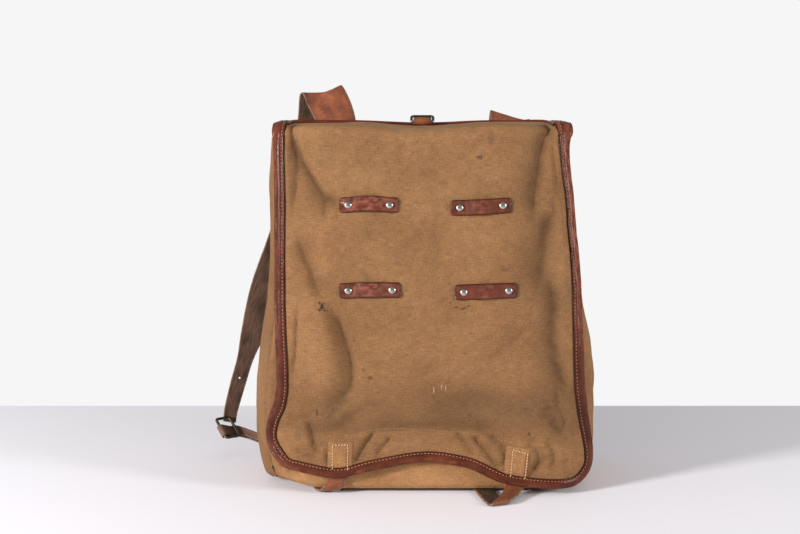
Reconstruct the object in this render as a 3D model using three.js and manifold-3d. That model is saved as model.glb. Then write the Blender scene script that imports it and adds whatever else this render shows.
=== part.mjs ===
// An old canvas rucksack with leather binding and straps, standing on its base.
// Millimetres, +Z up, the front faces -Y, and the origin is the middle of the base on the ground.

import * as THREE from "three";
import { mergeVertices } from "three/addons/utils/BufferGeometryUtils.js";
import Module from "manifold-3d";

// Driving dimensions
const canvasThickness = 1.6;
const strapThickness = 2.2;
const thinLeather = 1.8;
const gap = 0.4;
const pipingGap = 0.8;
const frontTop = 357;
const gussetTop = 360;
const backTop = 369.5;
const frontRise = 3.6;
const frontRiseStart = -30;
const frontRiseEnd = -44;
const cornerRise = 6;
const flapStandOff = 9;
const flapBendRadius = 12;
const flapBendStart = 362;
const flapBackEdge = 51.5;
const topSag = 4.2;
const topSagMiddle = -2;
const topSagHalfWidth = 75;
const hemCornerLeft = 30;
const hemCornerRight = 25;
const bindingReach = 3.2;
const flangeDepth = 6.5;
const pipingRadius = 3.2;
const keeperWidth = 15.5;
const keeperEnd = 8.8;
const keeperArch = 2.6;
const rivetHeadRadius = 3.8;
const rivetHeadHeight = 1.9;
const rivetShankRadius = 1.5;
const rivetHoleRadius = 1.9;
const rivetLift = 0.3;
const closureStrapWidth = 20;
const wireRadius = 1.5;

// Outline of the bag at each height: its four sides and the radii of its front and back corners
const bodySections = [
  { z: 1.2, left: -161.5, right: 164, front: -68.5, back: 50, frontRadius: 52, backRadius: 26 },
  { z: 7, left: -168.5, right: 171, front: -71.5, back: 55.5, frontRadius: 55, backRadius: 29 },
  { z: 25, left: -173.5, right: 176, front: -72, back: 57, frontRadius: 56, backRadius: 30 },
  { z: 58, left: -178, right: 179.5, front: -65.5, back: 58, frontRadius: 55, backRadius: 30 },
  { z: 100, left: -177, right: 179.5, front: -66.5, back: 58.5, frontRadius: 55, backRadius: 30 },
  { z: 146, left: -172.8, right: 174, front: -68, back: 58.5, frontRadius: 54, backRadius: 30 },
  { z: 200, left: -165.5, right: 165.5, front: -64, back: 58.5, frontRadius: 50, backRadius: 29 },
  { z: 260, left: -162, right: 158.5, front: -57.5, back: 58, frontRadius: 46, backRadius: 28 },
  { z: 320, left: -161, right: 153, front: -49.5, back: 57.5, frontRadius: 42, backRadius: 27 },
  { z: 370, left: -157, right: 149.5, front: -41, back: 57, frontRadius: 38, backRadius: 26 },
];

// Side edges of the flap's canvas at each height
const flapEdges = [
  { z: 0, left: -160, right: 170.8 },
  { z: 40, left: -160.4, right: 170.4 },
  { z: 62, left: -160.8, right: 167.6 },
  { z: 78, left: -157.5, right: 164 },
  { z: 96, left: -150.8, right: 161.3 },
  { z: 115, left: -148.6, right: 159 },
  { z: 209, left: -150, right: 155 },
  { z: 299, left: -149.8, right: 146.7 },
  { z: 350, left: -150.7, right: 142 },
  { z: 370, left: -150.8, right: 143 },
];

// Height of the flap's hem along its width
const flapHem = [
  { x: -131, z: 29.4 },
  { x: -90, z: 22.4 },
  { x: -50, z: 31 },
  { x: 3, z: 38.6 },
  { x: 40, z: 33.6 },
  { x: 81, z: 16.4 },
  { x: 110, z: 12 },
  { x: 140, z: 9.8 },
];

// Folds of the flap's front, each along a curve from one place by a second to a third: a depth above
// zero is a valley and one below zero a ridge
const flapFolds = [
  { name: "left strip", x0: -137, z0: 362, x1: -134, z1: 270, x2: -131, z2: 165, depth: 2.6, halfWidth: 15 },
  { name: "top left", x0: -139, z0: 368, x1: -126, z1: 336, x2: -106, z2: 302, depth: 2.4, halfWidth: 17 },
  { name: "top right", x0: 125, z0: 370, x1: 106, z1: 295, x2: 115, z2: 196, depth: 3.2, halfWidth: 20 },
  { name: "right strip", x0: 128, z0: 270, x1: 134, z1: 196, x2: 140, z2: 146, depth: 2.2, halfWidth: 14 },
  { name: "left slant", x0: -126, z0: 214, x1: -88, z1: 168, x2: -75, z2: 104, depth: 4.4, halfWidth: 25 },
  { name: "left hook", x0: -74, z0: 118, x1: -72, z1: 84, x2: -92, z2: 66, depth: 3.4, halfWidth: 22 },
  { name: "left lobe", x0: -126, z0: 178, x1: -112, z1: 124, x2: -108, z2: 72, depth: -5, halfWidth: 28 },
  { name: "right low", x0: 131, z0: 126, x1: 137, z1: 86, x2: 141, z2: 48, depth: 3.4, halfWidth: 18 },
  { name: "hem crease", x0: -76, z0: 72, x1: 25, z1: 63, x2: 155, z2: 58, depth: 3.2, halfWidth: 20 },
  { name: "hem roll", x0: -82, z0: 48, x1: 8, z1: 52, x2: 150, z2: 36, depth: -3.4, halfWidth: 20 },
  { name: "middle hollow", x0: -36, z0: 92, x1: 46, z1: 98, x2: 122, z2: 84, depth: 1.8, halfWidth: 42 },
];
const deepestFold = 5.2;
const foldFade = 16;
const foldEndShare = 0.45;

// Rivet places of the keepers, on the flap's front
const keepers = [
  { name: "upper_left", x0: -77.9, z0: 295, x1: -36.4, z1: 295 },
  { name: "upper_right", x0: 33.6, z0: 292.3, x1: 76.7, z1: 294.4 },
  { name: "lower_left", x0: -77.8, z0: 210, x1: -33.9, z1: 210.6 },
  { name: "lower_right", x0: 37.8, z0: 208.4, x1: 82.7, z1: 210 },
];

// Sewn patches above the closure straps: the middle of the top edge, the width, the sideways shift of
// the lower edge and the slope of the top edge
const closurePatches = [
  { name: "left", x: -86.6, z: 55, width: 25.5, shift: -0.5, slope: 0 },
  { name: "right", x: 94, z: 50, width: 23.5, shift: -3.5, slope: -0.2 },
];
const patchAboveHem = 7.6;
const patchLift = 1.6;

// Centre lines of the closure straps, from behind the hem to below the bag
const closureStraps = {
  left: [
    { x: -88, y: -71.8, z: 46 },
    { x: -89, y: -73.8, z: 30 },
    { x: -90.5, y: -74.6, z: 18 },
    { x: -93.5, y: -75, z: 8 },
    { x: -96, y: -71.5, z: 2.6 },
    { x: -99, y: -63, z: 1.3 },
    { x: -104, y: -48, z: 1.3 },
  ],
  right: [
    { x: 92, y: -72.4, z: 40 },
    { x: 92, y: -74, z: 26 },
    { x: 91.5, y: -74.8, z: 13 },
    { x: 90.5, y: -78, z: 7.4 },
    { x: 87, y: -87, z: 6.6 },
    { x: 82, y: -101, z: 6 },
    { x: 76.8, y: -114, z: 5.2 },
    { x: 75, y: -117.6, z: 3.2 },
    { x: 73.4, y: -114, z: 1.4 },
    { x: 69, y: -100, z: 1.2 },
    { x: 63, y: -81, z: 1.2 },
    { x: 58, y: -64, z: 1.3 },
    { x: 54, y: -48, z: 1.3 },
  ],
};

// Centre lines and widths of the shoulder straps, from the back panel over the top and down to the buckle
const shoulderStraps = {
  left: [
    { x: -94, y: 61, z: 296, width: 43, tilt: 0 },
    { x: -94, y: 61.4, z: 345, width: 43, tilt: 0 },
    { x: -95.5, y: 65, z: 374, width: 43, tilt: 0.06 },
    { x: -102, y: 69, z: 392, width: 44, tilt: 0.1 },
    { x: -110, y: 76, z: 404.5, width: 44.5, tilt: 0.1 },
    { x: -114, y: 86, z: 400, width: 44.5, tilt: 0.1 },
    { x: -117.5, y: 93, z: 372, width: 44, tilt: 0.12 },
    { x: -132.5, y: 99, z: 308, width: 43.5, tilt: 0.18 },
    { x: -152, y: 101, z: 245, width: 42.5, tilt: 0.26 },
    { x: -177, y: 99, z: 182, width: 38, tilt: 0.3 },
    { x: -194, y: 95, z: 131, width: 26, tilt: 0.27 },
    { x: -201.5, y: 91, z: 106, width: 18.5, tilt: 0.27 },
    { x: -208.3, y: 89, z: 83, width: 17.5, tilt: 0.27 },
    { x: -214.5, y: 88.5, z: 61, width: 16.5, tilt: 0.2 },
    { x: -218.5, y: 90, z: 46, width: 15.5, tilt: 0.25 },
    { x: -220.5, y: 91, z: 33, width: 15, tilt: 0.25 },
  ],
  right: [
    { x: 95, y: 61, z: 296, width: 43, tilt: 0 },
    { x: 95, y: 61.4, z: 345, width: 43, tilt: 0 },
    { x: 95, y: 64.8, z: 370, width: 44, tilt: -0.08 },
    { x: 95, y: 68, z: 379, width: 46, tilt: -0.15 },
    { x: 96, y: 76, z: 381, width: 46, tilt: -0.15 },
    { x: 98.5, y: 85, z: 366, width: 44, tilt: -0.12 },
    { x: 104, y: 95, z: 308, width: 43.5, tilt: -0.1 },
    { x: 112, y: 99, z: 245, width: 42.5, tilt: -0.13 },
    { x: 122, y: 98, z: 182, width: 38, tilt: -0.18 },
    { x: 132, y: 94, z: 131, width: 26, tilt: -0.18 },
    { x: 137, y: 90, z: 106, width: 18.5, tilt: -0.16 },
    { x: 141, y: 87, z: 83, width: 17.5, tilt: -0.14 },
    { x: 144, y: 87, z: 61, width: 16.5, tilt: -0.1 },
    { x: 145, y: 88.8, z: 48, width: 15.5, tilt: -0.05 },
    { x: 145.5, y: 89.8, z: 36, width: 15, tilt: 0 },
  ],
};
const tongueHoleRadius = 1.6;
const tongueHoleHeight = 85;

// Wire frames between the shoulder straps and the lower straps: the middle, the turn about the upright,
// the lean of the long bars, how far down the bars the lower strap sits, and where it leaves the bag
const strapBuckles = {
  left: { x: -220, y: 72, z: 31.5, turn: 0.64, lean: 0.95, slide: 4, rootX: -162, rootY: 59, rootZ: 13 },
  right: { x: 145.5, y: 80, z: 35, turn: 0, lean: 0.15, slide: 3, rootX: 162, rootY: 57, rootZ: 13 },
};
const buckleBar = 28;
const buckleSpan = 17;
const buckleCorner = 2.5;
const lowerStrapWidth = 15;

const canvasLook = { color: 0x9e724f, roughness: 0.95, metalness: 0 };
const bindingLook = { color: 0x723f32, roughness: 0.42, metalness: 0 };
const strapLook = { color: 0x8a5540, roughness: 0.55, metalness: 0 };
const keeperLook = { color: 0x94564a, roughness: 0.45, metalness: 0 };
const rivetLook = { color: 0xb9b6b2, roughness: 0.28, metalness: 1 };
const steelLook = { color: 0x4c4a48, roughness: 0.5, metalness: 1 };

const wasm = await Module();
wasm.setup();
const rucksack = new THREE.Group();
const up = new THREE.Vector3(0, 0, 1);
const acrossBag = new THREE.Vector3(1, 0, 0);

function lerp(a, b, t) {
  return a + (b - a) * t;
}

function smooth(edge0, edge1, value) {
  const t = THREE.MathUtils.clamp((value - edge0) / (edge1 - edge0), 0, 1);
  return t * t * (3 - 2 * t);
}

// Smooth value of one column of a table between its rows, with no overshoot
function readTable(rows, key, column, at) {
  const last = rows.length - 1;
  const place = THREE.MathUtils.clamp(at, rows[0][key], rows[last][key]);
  let i = 0;
  while (i < last - 1 && rows[i + 1][key] < place) {
    i += 1;
  }
  const rise = (k) => (rows[k + 1][column] - rows[k][column]) / (rows[k + 1][key] - rows[k][key]);
  const slope = (k) => {
    const before = rise(Math.max(k - 1, 0));
    const after = rise(Math.min(k, last - 1));
    return before * after > 0 ? (2 * before * after) / (before + after) : 0;
  };
  const span = rows[i + 1][key] - rows[i][key];
  const t = (place - rows[i][key]) / span;
  const rest = 1 - t;
  const ends = rows[i][column] * (1 + 2 * t) * rest * rest + rows[i + 1][column] * (3 - 2 * t) * t * t;
  return ends + span * t * rest * (slope(i) * rest - slope(i + 1) * t);
}

function geometryOf(points, faces) {
  const geometry = new THREE.BufferGeometry();
  const positions = points.flatMap((point) => [point.x, point.y, point.z]);
  geometry.setAttribute("position", new THREE.Float32BufferAttribute(positions, 3));
  geometry.setIndex(faces);
  return geometry;
}

function addPiece(name, geometry, look) {
  const piece = new THREE.Mesh(geometry, new THREE.MeshStandardMaterial(look));
  piece.name = name;
  rucksack.add(piece);
}

// A closed sheet of even thickness: sample gives the outer point and its outward normal at a grid place
function thickSheet(sample, columns, rows, thickness) {
  const points = [];
  const faces = [];
  const wide = columns + 1;
  const layer = wide * (rows + 1);
  const outer = [];
  const inner = [];
  for (let j = 0; j <= rows; j += 1) {
    for (let i = 0; i <= columns; i += 1) {
      const { point, normal } = sample(i, j);
      outer.push(point);
      inner.push(point.clone().addScaledVector(normal, -thickness));
    }
  }
  points.push(...outer, ...inner);
  const quad = (a, b, c, d) => faces.push(a, b, c, a, c, d);
  for (let j = 0; j < rows; j += 1) {
    for (let i = 0; i < columns; i += 1) {
      const a = j * wide + i;
      quad(a, a + 1, a + 1 + wide, a + wide);
      quad(layer + a, layer + a + wide, layer + a + 1 + wide, layer + a + 1);
    }
  }
  const rim = (a, b) => quad(b, a, a + layer, b + layer);
  for (let i = 0; i < columns; i += 1) {
    rim(i, i + 1);
    rim(rows * wide + i + 1, rows * wide + i);
  }
  for (let j = 0; j < rows; j += 1) {
    rim((j + 1) * wide, j * wide);
    rim(j * wide + columns, (j + 1) * wide + columns);
  }
  return geometryOf(points, faces);
}

// A solid through rings of points that share one section outline; an open one is capped at both ends
function sweptSolid(rings, section, closed = false) {
  const count = section.length;
  const faces = [];
  const spans = closed ? rings.length : rings.length - 1;
  for (let k = 0; k < spans; k += 1) {
    const here = k * count;
    const there = ((k + 1) % rings.length) * count;
    for (let j = 0; j < count; j += 1) {
      const next = (j + 1) % count;
      faces.push(here + j, here + next, there + next, here + j, there + next, there + j);
    }
  }
  if (!closed) {
    const end = (rings.length - 1) * count;
    for (const [a, b, c] of THREE.ShapeUtils.triangulateShape(section, [])) {
      faces.push(a, c, b, end + a, end + b, end + c);
    }
  }
  return geometryOf(rings.flat(), faces);
}

function placeSection(section, centre, sideways, upwards) {
  return section.map(({ x, y }) => centre.clone().addScaledVector(sideways, x).addScaledVector(upwards, y));
}

function stripSection(width, thickness) {
  const side = width / 2;
  const face = thickness / 2;
  return [
    new THREE.Vector2(-side, -face),
    new THREE.Vector2(side, -face),
    new THREE.Vector2(side, face),
    new THREE.Vector2(-side, face),
  ];
}

function roundSection(radius, sides) {
  return Array.from({ length: sides }, (_, k) => {
    const turn = (2 * Math.PI * k) / sides;
    return new THREE.Vector2(radius * Math.cos(turn), radius * Math.sin(turn));
  });
}

function solidOf(geometry) {
  const bare = new THREE.BufferGeometry();
  bare.setAttribute("position", geometry.getAttribute("position"));
  bare.setIndex(geometry.getIndex());
  const merged = mergeVertices(bare, 1e-4);
  const index = merged.getIndex().array;
  const kept = [];
  for (let k = 0; k < index.length; k += 3) {
    const [a, b, c] = [index[k], index[k + 1], index[k + 2]];
    if (a !== b && b !== c && c !== a) {
      kept.push(a, b, c);
    }
  }
  const vertProperties = Float32Array.from(merged.getAttribute("position").array);
  const triVerts = Uint32Array.from(kept);
  return new wasm.Manifold(new wasm.Mesh({ numProp: 3, vertProperties, triVerts }));
}

function cutAway(geometry, cutters) {
  let solid = solidOf(geometry);
  for (const cutter of cutters) {
    solid = solid.subtract(solidOf(cutter));
  }
  const mesh = solid.getMesh();
  const result = new THREE.BufferGeometry();
  result.setAttribute("position", new THREE.Float32BufferAttribute(mesh.vertProperties, 3));
  result.setIndex(Array.from(mesh.triVerts));
  return result;
}

// A short round punch through a sheet, along its normal
function punch(point, normal, radius, reach) {
  const bar = new THREE.CylinderGeometry(radius, radius, 2 * reach, 8);
  const turn = new THREE.Quaternion().setFromUnitVectors(new THREE.Vector3(0, 1, 0), normal);
  return bar.applyQuaternion(turn).translate(point.x, point.y, point.z);
}

// The bag's walls

function sectionAt(z) {
  const section = {};
  for (const column of ["left", "right", "front", "back", "frontRadius", "backRadius"]) {
    section[column] = readTable(bodySections, "z", column, z);
  }
  return section;
}

// The base is raised along the front, and more at the left front corner
const cornerLift = { innerX: -95, outerX: -150, innerY: -5, outerY: -45 };

function restLift(x, y) {
  const front = smooth(frontRiseStart, frontRiseEnd, y);
  const cornerX = smooth(cornerLift.innerX, cornerLift.outerX, x);
  const cornerY = smooth(cornerLift.innerY, cornerLift.outerY, y);
  return frontRise * front + cornerRise * cornerX * cornerY;
}

const wallSides = {
  front: { start: 225, first: "leftFront", second: "rightFront" },
  right: { start: 315, first: "rightFront", second: "rightBack" },
  back: { start: 45, first: "rightBack", second: "leftBack" },
  left: { start: 135, first: "leftBack", second: "leftFront" },
};
const wallCornerShare = 0.2;
const liftFadeHeight = 45;

function cornerOf(section, name) {
  const radius = name.endsWith("Front") ? section.frontRadius : section.backRadius;
  const x = name.startsWith("left") ? section.left + radius : section.right - radius;
  const y = name.endsWith("Front") ? section.front + radius : section.back - radius;
  return { x, y, radius };
}

// A point of a wall's outer face: along runs from 0 to 1 between two corner seams
function wallPoint(side, along, z) {
  const section = sectionAt(z);
  const { start, first, second } = wallSides[side];
  const onArc = (corner, degrees) => {
    const turn = THREE.MathUtils.degToRad(degrees);
    return [corner.x + corner.radius * Math.cos(turn), corner.y + corner.radius * Math.sin(turn)];
  };
  const from = cornerOf(section, first);
  const to = cornerOf(section, second);
  let x;
  let y;
  if (along < wallCornerShare) {
    [x, y] = onArc(from, start + (45 * along) / wallCornerShare);
  } else if (along > 1 - wallCornerShare) {
    [x, y] = onArc(to, start + 45 + (45 * (along - 1 + wallCornerShare)) / wallCornerShare);
  } else {
    const t = (along - wallCornerShare) / (1 - 2 * wallCornerShare);
    const [x0, y0] = onArc(from, start + 45);
    const [x1, y1] = onArc(to, start + 45);
    x = lerp(x0, x1, t);
    y = lerp(y0, y1, t);
  }
  const fade = Math.max(0, 1 - z / liftFadeHeight);
  return new THREE.Vector3(x, y, z + restLift(x, y) * fade);
}

const lowestWall = bodySections[0].z;
const wallRowHeights = [lowestWall, 3.5, 7, 14, 25, 40, 58, 100, 146, 200, 260, 320];
const seamTrim = 0.002;
const slopeStepAlong = 0.005;
const slopeStepHeight = 0.5;

function wallSheet(side, columns, top) {
  const heights = [...wallRowHeights, top];
  const sample = (i, j) => {
    const along = lerp(seamTrim, 1 - seamTrim, i / columns);
    const point = wallPoint(side, along, heights[j]);
    const ahead = wallPoint(side, along + slopeStepAlong, heights[j]);
    const behind = wallPoint(side, along - slopeStepAlong, heights[j]);
    const above = wallPoint(side, along, heights[j] + slopeStepHeight);
    const below = wallPoint(side, along, Math.max(heights[j] - slopeStepHeight, lowestWall));
    const normal = ahead.sub(behind).cross(above.sub(below)).normalize();
    return { point, normal };
  };
  return thickSheet(sample, columns, heights.length - 1, canvasThickness);
}

function basePanel() {
  const section = sectionAt(lowestWall);
  const inset = canvasThickness + 3 * gap;
  const columns = 10;
  const rows = 8;
  const sample = (i, j) => {
    const spread = (1 - Math.cos((Math.PI * j) / rows)) / 2;
    const y = lerp(section.back - inset, section.front + inset, spread);
    const sideAt = (name) => {
      const corner = y < 0 ? cornerOf(section, `${name}Front`) : cornerOf(section, `${name}Back`);
      const past = Math.max(0, y < 0 ? corner.y - y : y - corner.y);
      const radius = corner.radius - inset;
      const reach = Math.sqrt(Math.max(0, radius * radius - past * past));
      return name === "left" ? corner.x - reach : corner.x + reach;
    };
    const x = lerp(sideAt("left"), sideAt("right"), i / columns);
    return { point: new THREE.Vector3(x, y, restLift(x, y)), normal: new THREE.Vector3(0, 0, -1) };
  };
  return thickSheet(sample, columns, rows, canvasThickness);
}

addPiece("front_panel", wallSheet("front", 12, frontTop), canvasLook);
addPiece("side_gusset_right", wallSheet("right", 6, gussetTop), canvasLook);
addPiece("back_panel", wallSheet("back", 8, backTop), canvasLook);
addPiece("side_gusset_left", wallSheet("left", 6, gussetTop), canvasLook);
addPiece("base_panel", basePanel(), canvasLook);

// The flap

function foldAt(x, z) {
  const steps = 10;
  let depth = 0;
  for (const fold of flapFolds) {
    let nearest = Infinity;
    let where = 0;
    for (let k = 0; k <= steps; k += 1) {
      const t = k / steps;
      const s = 1 - t;
      const px = s * s * fold.x0 + 2 * s * t * fold.x1 + t * t * fold.x2;
      const pz = s * s * fold.z0 + 2 * s * t * fold.z1 + t * t * fold.z2;
      const away = Math.hypot(x - px, z - pz);
      if (away < nearest) {
        nearest = away;
        where = t;
      }
    }
    const across = Math.max(0, 1 - (nearest / fold.halfWidth) ** 2);
    const along = lerp(foldEndShare, 1, Math.sin(Math.PI * where));
    depth += fold.depth * across * across * along;
  }
  const inX = Math.min(x - readTable(flapEdges, "z", "left", z), readTable(flapEdges, "z", "right", z) - x);
  const inZ = z - readTable(flapHem, "x", "z", x);
  const fade = smooth(flangeDepth, flangeDepth + foldFade, Math.min(inX, inZ))
    * smooth(flapBendStart, flapBendStart - foldFade, z);
  return Math.min(depth, deepestFold) * fade;
}

// Depth of the flap's front face, which wraps the bag's front at an even distance
function flapFace(x, z) {
  const section = sectionAt(z);
  const radius = section.frontRadius + flapStandOff;
  const leftStart = section.left + section.frontRadius;
  const rightStart = section.right - section.frontRadius;
  const past = Math.max(0, leftStart - x, x - rightStart);
  const fall = radius - Math.sqrt(radius * radius - past * past);
  return section.front - flapStandOff + fall + foldAt(x, z);
}

function flapFaceNormal(x, z) {
  const step = 1;
  const slopeX = (flapFace(x + step, z) - flapFace(x - step, z)) / (2 * step);
  const slopeZ = (flapFace(x, z + step) - flapFace(x, z - step)) / (2 * step);
  return new THREE.Vector3(slopeX, -1, slopeZ).normalize();
}

function onFlap(x, z, lift = 0) {
  const point = new THREE.Vector3(x, flapFace(x, z), z);
  return point.addScaledVector(flapFaceNormal(x, z), lift);
}

const cornerColumns = 4;
const middleColumns = 18;
const flapColumns = 2 * cornerColumns + middleColumns;
const frontRows = 21;
const bendRows = 3;
const topRows = 3;
const flapRows = frontRows + bendRows + topRows;

// Distance in from the side edge for the columns that round a hem corner
function cornerInset(steps, radius) {
  return radius * (1 - Math.cos((Math.PI / 2) * (steps / cornerColumns)));
}

function flapColumnX(i, z) {
  const left = readTable(flapEdges, "z", "left", z);
  const right = readTable(flapEdges, "z", "right", z);
  if (i <= cornerColumns) {
    return left + cornerInset(i, hemCornerLeft);
  }
  if (i >= flapColumns - cornerColumns) {
    return right - cornerInset(flapColumns - i, hemCornerRight);
  }
  return lerp(left + hemCornerLeft, right - hemCornerRight, (i - cornerColumns) / middleColumns);
}

function flapHemHeight(i) {
  const x = flapColumnX(i, 0);
  const fromLeft = Math.min(i / cornerColumns, 1);
  const fromRight = Math.min((flapColumns - i) / cornerColumns, 1);
  const liftLeft = hemCornerLeft * (1 - Math.sin((Math.PI / 2) * fromLeft));
  const liftRight = hemCornerRight * (1 - Math.sin((Math.PI / 2) * fromRight));
  return readTable(flapHem, "x", "z", x) + liftLeft + liftRight;
}

function sagAt(x) {
  const away = Math.min(1, Math.abs(x - topSagMiddle) / topSagHalfWidth);
  return topSag * (1 - away * away) ** 2;
}

function flapSample(i, j) {
  if (j <= frontRows) {
    const z = lerp(flapHemHeight(i), flapBendStart, j / frontRows);
    const x = flapColumnX(i, z);
    return { point: onFlap(x, z - sagAt(x) * (j / frontRows) ** 6), normal: flapFaceNormal(x, z) };
  }
  const x = flapColumnX(i, flapBendStart);
  const start = onFlap(x, flapBendStart);
  const startNormal = flapFaceNormal(x, flapBendStart);
  const bent = Math.min((j - frontRows) / bendRows, 1);
  const turn = (Math.PI / 2) * bent;
  const run = Math.max(0, (j - frontRows - bendRows) / topRows);
  const bendEnd = start.y + flapBendRadius;
  const y = bendEnd - flapBendRadius * Math.cos(turn) + (flapBackEdge - bendEnd) * run;
  const z = start.z + flapBendRadius * Math.sin(turn) - sagAt(x);
  const normal = new THREE.Vector3(startNormal.x * (1 - bent), -Math.cos(turn), Math.sin(turn)).normalize();
  return { point: new THREE.Vector3(x, y, z), normal };
}

function rivetPlaces() {
  return keepers.flatMap(({ name, x0, z0, x1, z1 }) => [
    { name: `${name}_a`, x: x0, z: z0 },
    { name: `${name}_b`, x: x1, z: z1 },
  ]);
}

const punchReach = 6;
const rivetPunches = rivetPlaces().map(({ x, z }) =>
  punch(onFlap(x, z), flapFaceNormal(x, z), rivetHoleRadius, punchReach));
const flapSheet = thickSheet(flapSample, flapColumns, flapRows, canvasThickness);
addPiece("flap", cutAway(flapSheet, rivetPunches), canvasLook);

// The leather folded over the flap's edge: a bead outside it and a flange on each face
const slotClearance = 1.3;
const flangeThickness = 1.2;
const slotEnd = 0.5;
const beadShoulder = 1.8;
const slotInner = -canvasThickness - slotClearance;
const faceInner = slotInner - flangeThickness;
const faceOuter = slotClearance + flangeThickness;
const bindingSection = [
  new THREE.Vector2(-flangeDepth, faceInner),
  new THREE.Vector2(beadShoulder, faceInner),
  new THREE.Vector2(bindingReach, -canvasThickness / 2),
  new THREE.Vector2(beadShoulder, faceOuter),
  new THREE.Vector2(-flangeDepth, faceOuter),
  new THREE.Vector2(-flangeDepth, slotClearance),
  new THREE.Vector2(slotEnd, slotClearance),
  new THREE.Vector2(slotEnd, slotInner),
  new THREE.Vector2(-flangeDepth, slotInner),
];

function flapBinding() {
  const edge = [];
  for (let j = flapRows; j > 0; j -= 1) {
    edge.push(flapSample(flapColumns, j));
  }
  for (let i = flapColumns; i >= 0; i -= 1) {
    edge.push(flapSample(i, 0));
  }
  for (let j = 1; j <= flapRows; j += 1) {
    edge.push(flapSample(0, j));
  }
  const last = edge.length - 1;
  const rings = edge.map(({ point, normal }, k) => {
    const along = edge[Math.min(k + 1, last)].point.clone().sub(edge[Math.max(k - 1, 0)].point).normalize();
    const outward = normal.clone().cross(along).normalize();
    return placeSection(bindingSection, point, outward, along.cross(outward));
  });
  return sweptSolid(rings, bindingSection);
}
addPiece("flap_binding", flapBinding(), bindingLook);

// Piping up the back's left seam, along the top back edge and down the right seam
const pipingSides = 6;
const pipingBottom = 16;
const pipingSeamTop = 350;
const pipingTop = 376;
const pipingTopDepth = 58.6;
const pipingSagShare = 0.6;
const pipingCornerRun = 12;
const seamRows = 8;
const topEdgeRows = 9;

// The piping's way round each top corner: outward, backward and upward from the top of its seam
const pipingCorner = [
  { outward: 1.6, backward: 1.8, upward: 12 },
  { outward: -1.5, backward: 4.6, upward: 21 },
];

function backPiping() {
  const offset = (pipingRadius + pipingGap) * Math.SQRT1_2;
  const seam = (side, z) => {
    const point = wallPoint("back", side < 0 ? 1 : 0, z);
    return new THREE.Vector3(point.x + side * offset, point.y + offset, z);
  };
  const corner = (side) => {
    const foot = seam(side, pipingSeamTop);
    return pipingCorner.map(({ outward, backward, upward }) =>
      new THREE.Vector3(foot.x + side * outward, foot.y + backward, foot.z + upward));
  };
  const line = [];
  for (let k = 0; k <= seamRows; k += 1) {
    line.push(seam(-1, lerp(pipingBottom, pipingSeamTop, k / seamRows)));
  }
  line.push(...corner(-1));
  const leftEnd = seam(-1, pipingSeamTop).x + pipingCornerRun;
  const rightEnd = seam(1, pipingSeamTop).x - pipingCornerRun;
  for (let k = 0; k <= topEdgeRows; k += 1) {
    const x = lerp(leftEnd, rightEnd, k / topEdgeRows);
    line.push(new THREE.Vector3(x, pipingTopDepth, pipingTop - sagAt(x) * pipingSagShare));
  }
  line.push(...corner(1).reverse());
  for (let k = seamRows; k >= 0; k -= 1) {
    line.push(seam(1, lerp(pipingBottom, pipingSeamTop, k / seamRows)));
  }
  const section = roundSection(pipingRadius, pipingSides);
  const last = line.length - 1;
  const rings = line.map((point, k) => {
    const along = line[Math.min(k + 1, last)].clone().sub(line[Math.max(k - 1, 0)]).normalize();
    const backward = new THREE.Vector3(0, 1, 0);
    backward.addScaledVector(along, -along.y).normalize();
    return placeSection(section, point, backward, along.clone().cross(backward));
  });
  return sweptSolid(rings, section);
}
addPiece("back_piping", backPiping(), bindingLook);

// Keepers and their rivets
const keeperColumns = 10;
const keeperRows = 2;
const keeperCorner = 3.5;
const keeperFlatShare = 0.12;
const keeperEndCrowding = 0.6;

function keeperLift(t) {
  const along = (t - keeperFlatShare) / (1 - 2 * keeperFlatShare);
  return gap + keeperArch * Math.sin(Math.PI * THREE.MathUtils.clamp(along, 0, 1)) ** 2;
}

function keeperSample(keeper, s, across) {
  const length = Math.hypot(keeper.x1 - keeper.x0, keeper.z1 - keeper.z0);
  const dirX = (keeper.x1 - keeper.x0) / length;
  const dirZ = (keeper.z1 - keeper.z0) / length;
  const x = keeper.x0 + dirX * s - dirZ * across;
  const z = keeper.z0 + dirZ * s + dirX * across;
  const normal = flapFaceNormal(x, z);
  const lift = keeperLift(s / length) + thinLeather;
  return { point: onFlap(x, z, lift), normal };
}

for (const keeper of keepers) {
  const length = Math.hypot(keeper.x1 - keeper.x0, keeper.z1 - keeper.z0);
  const sample = (i, j) => {
    const spread = (1 - Math.cos((Math.PI * i) / keeperColumns)) / 2;
    const place = lerp(i / keeperColumns, spread, keeperEndCrowding);
    const s = lerp(-keeperEnd, length + keeperEnd, place);
    const toEnd = Math.min(s + keeperEnd, length + keeperEnd - s);
    const round = Math.max(0, keeperCorner - toEnd);
    const half = keeperWidth / 2 - keeperCorner + Math.sqrt(keeperCorner ** 2 - round ** 2);
    return keeperSample(keeper, s, lerp(-half, half, j / keeperRows));
  };
  const sheet = thickSheet(sample, keeperColumns, keeperRows, thinLeather);
  const punches = [0, length].map((s) => {
    const { point, normal } = keeperSample(keeper, s, 0);
    return punch(point, normal, rivetHoleRadius, punchReach / 2);
  });
  addPiece(`keeper_${keeper.name}`, cutAway(sheet, punches), keeperLook);
}

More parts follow.
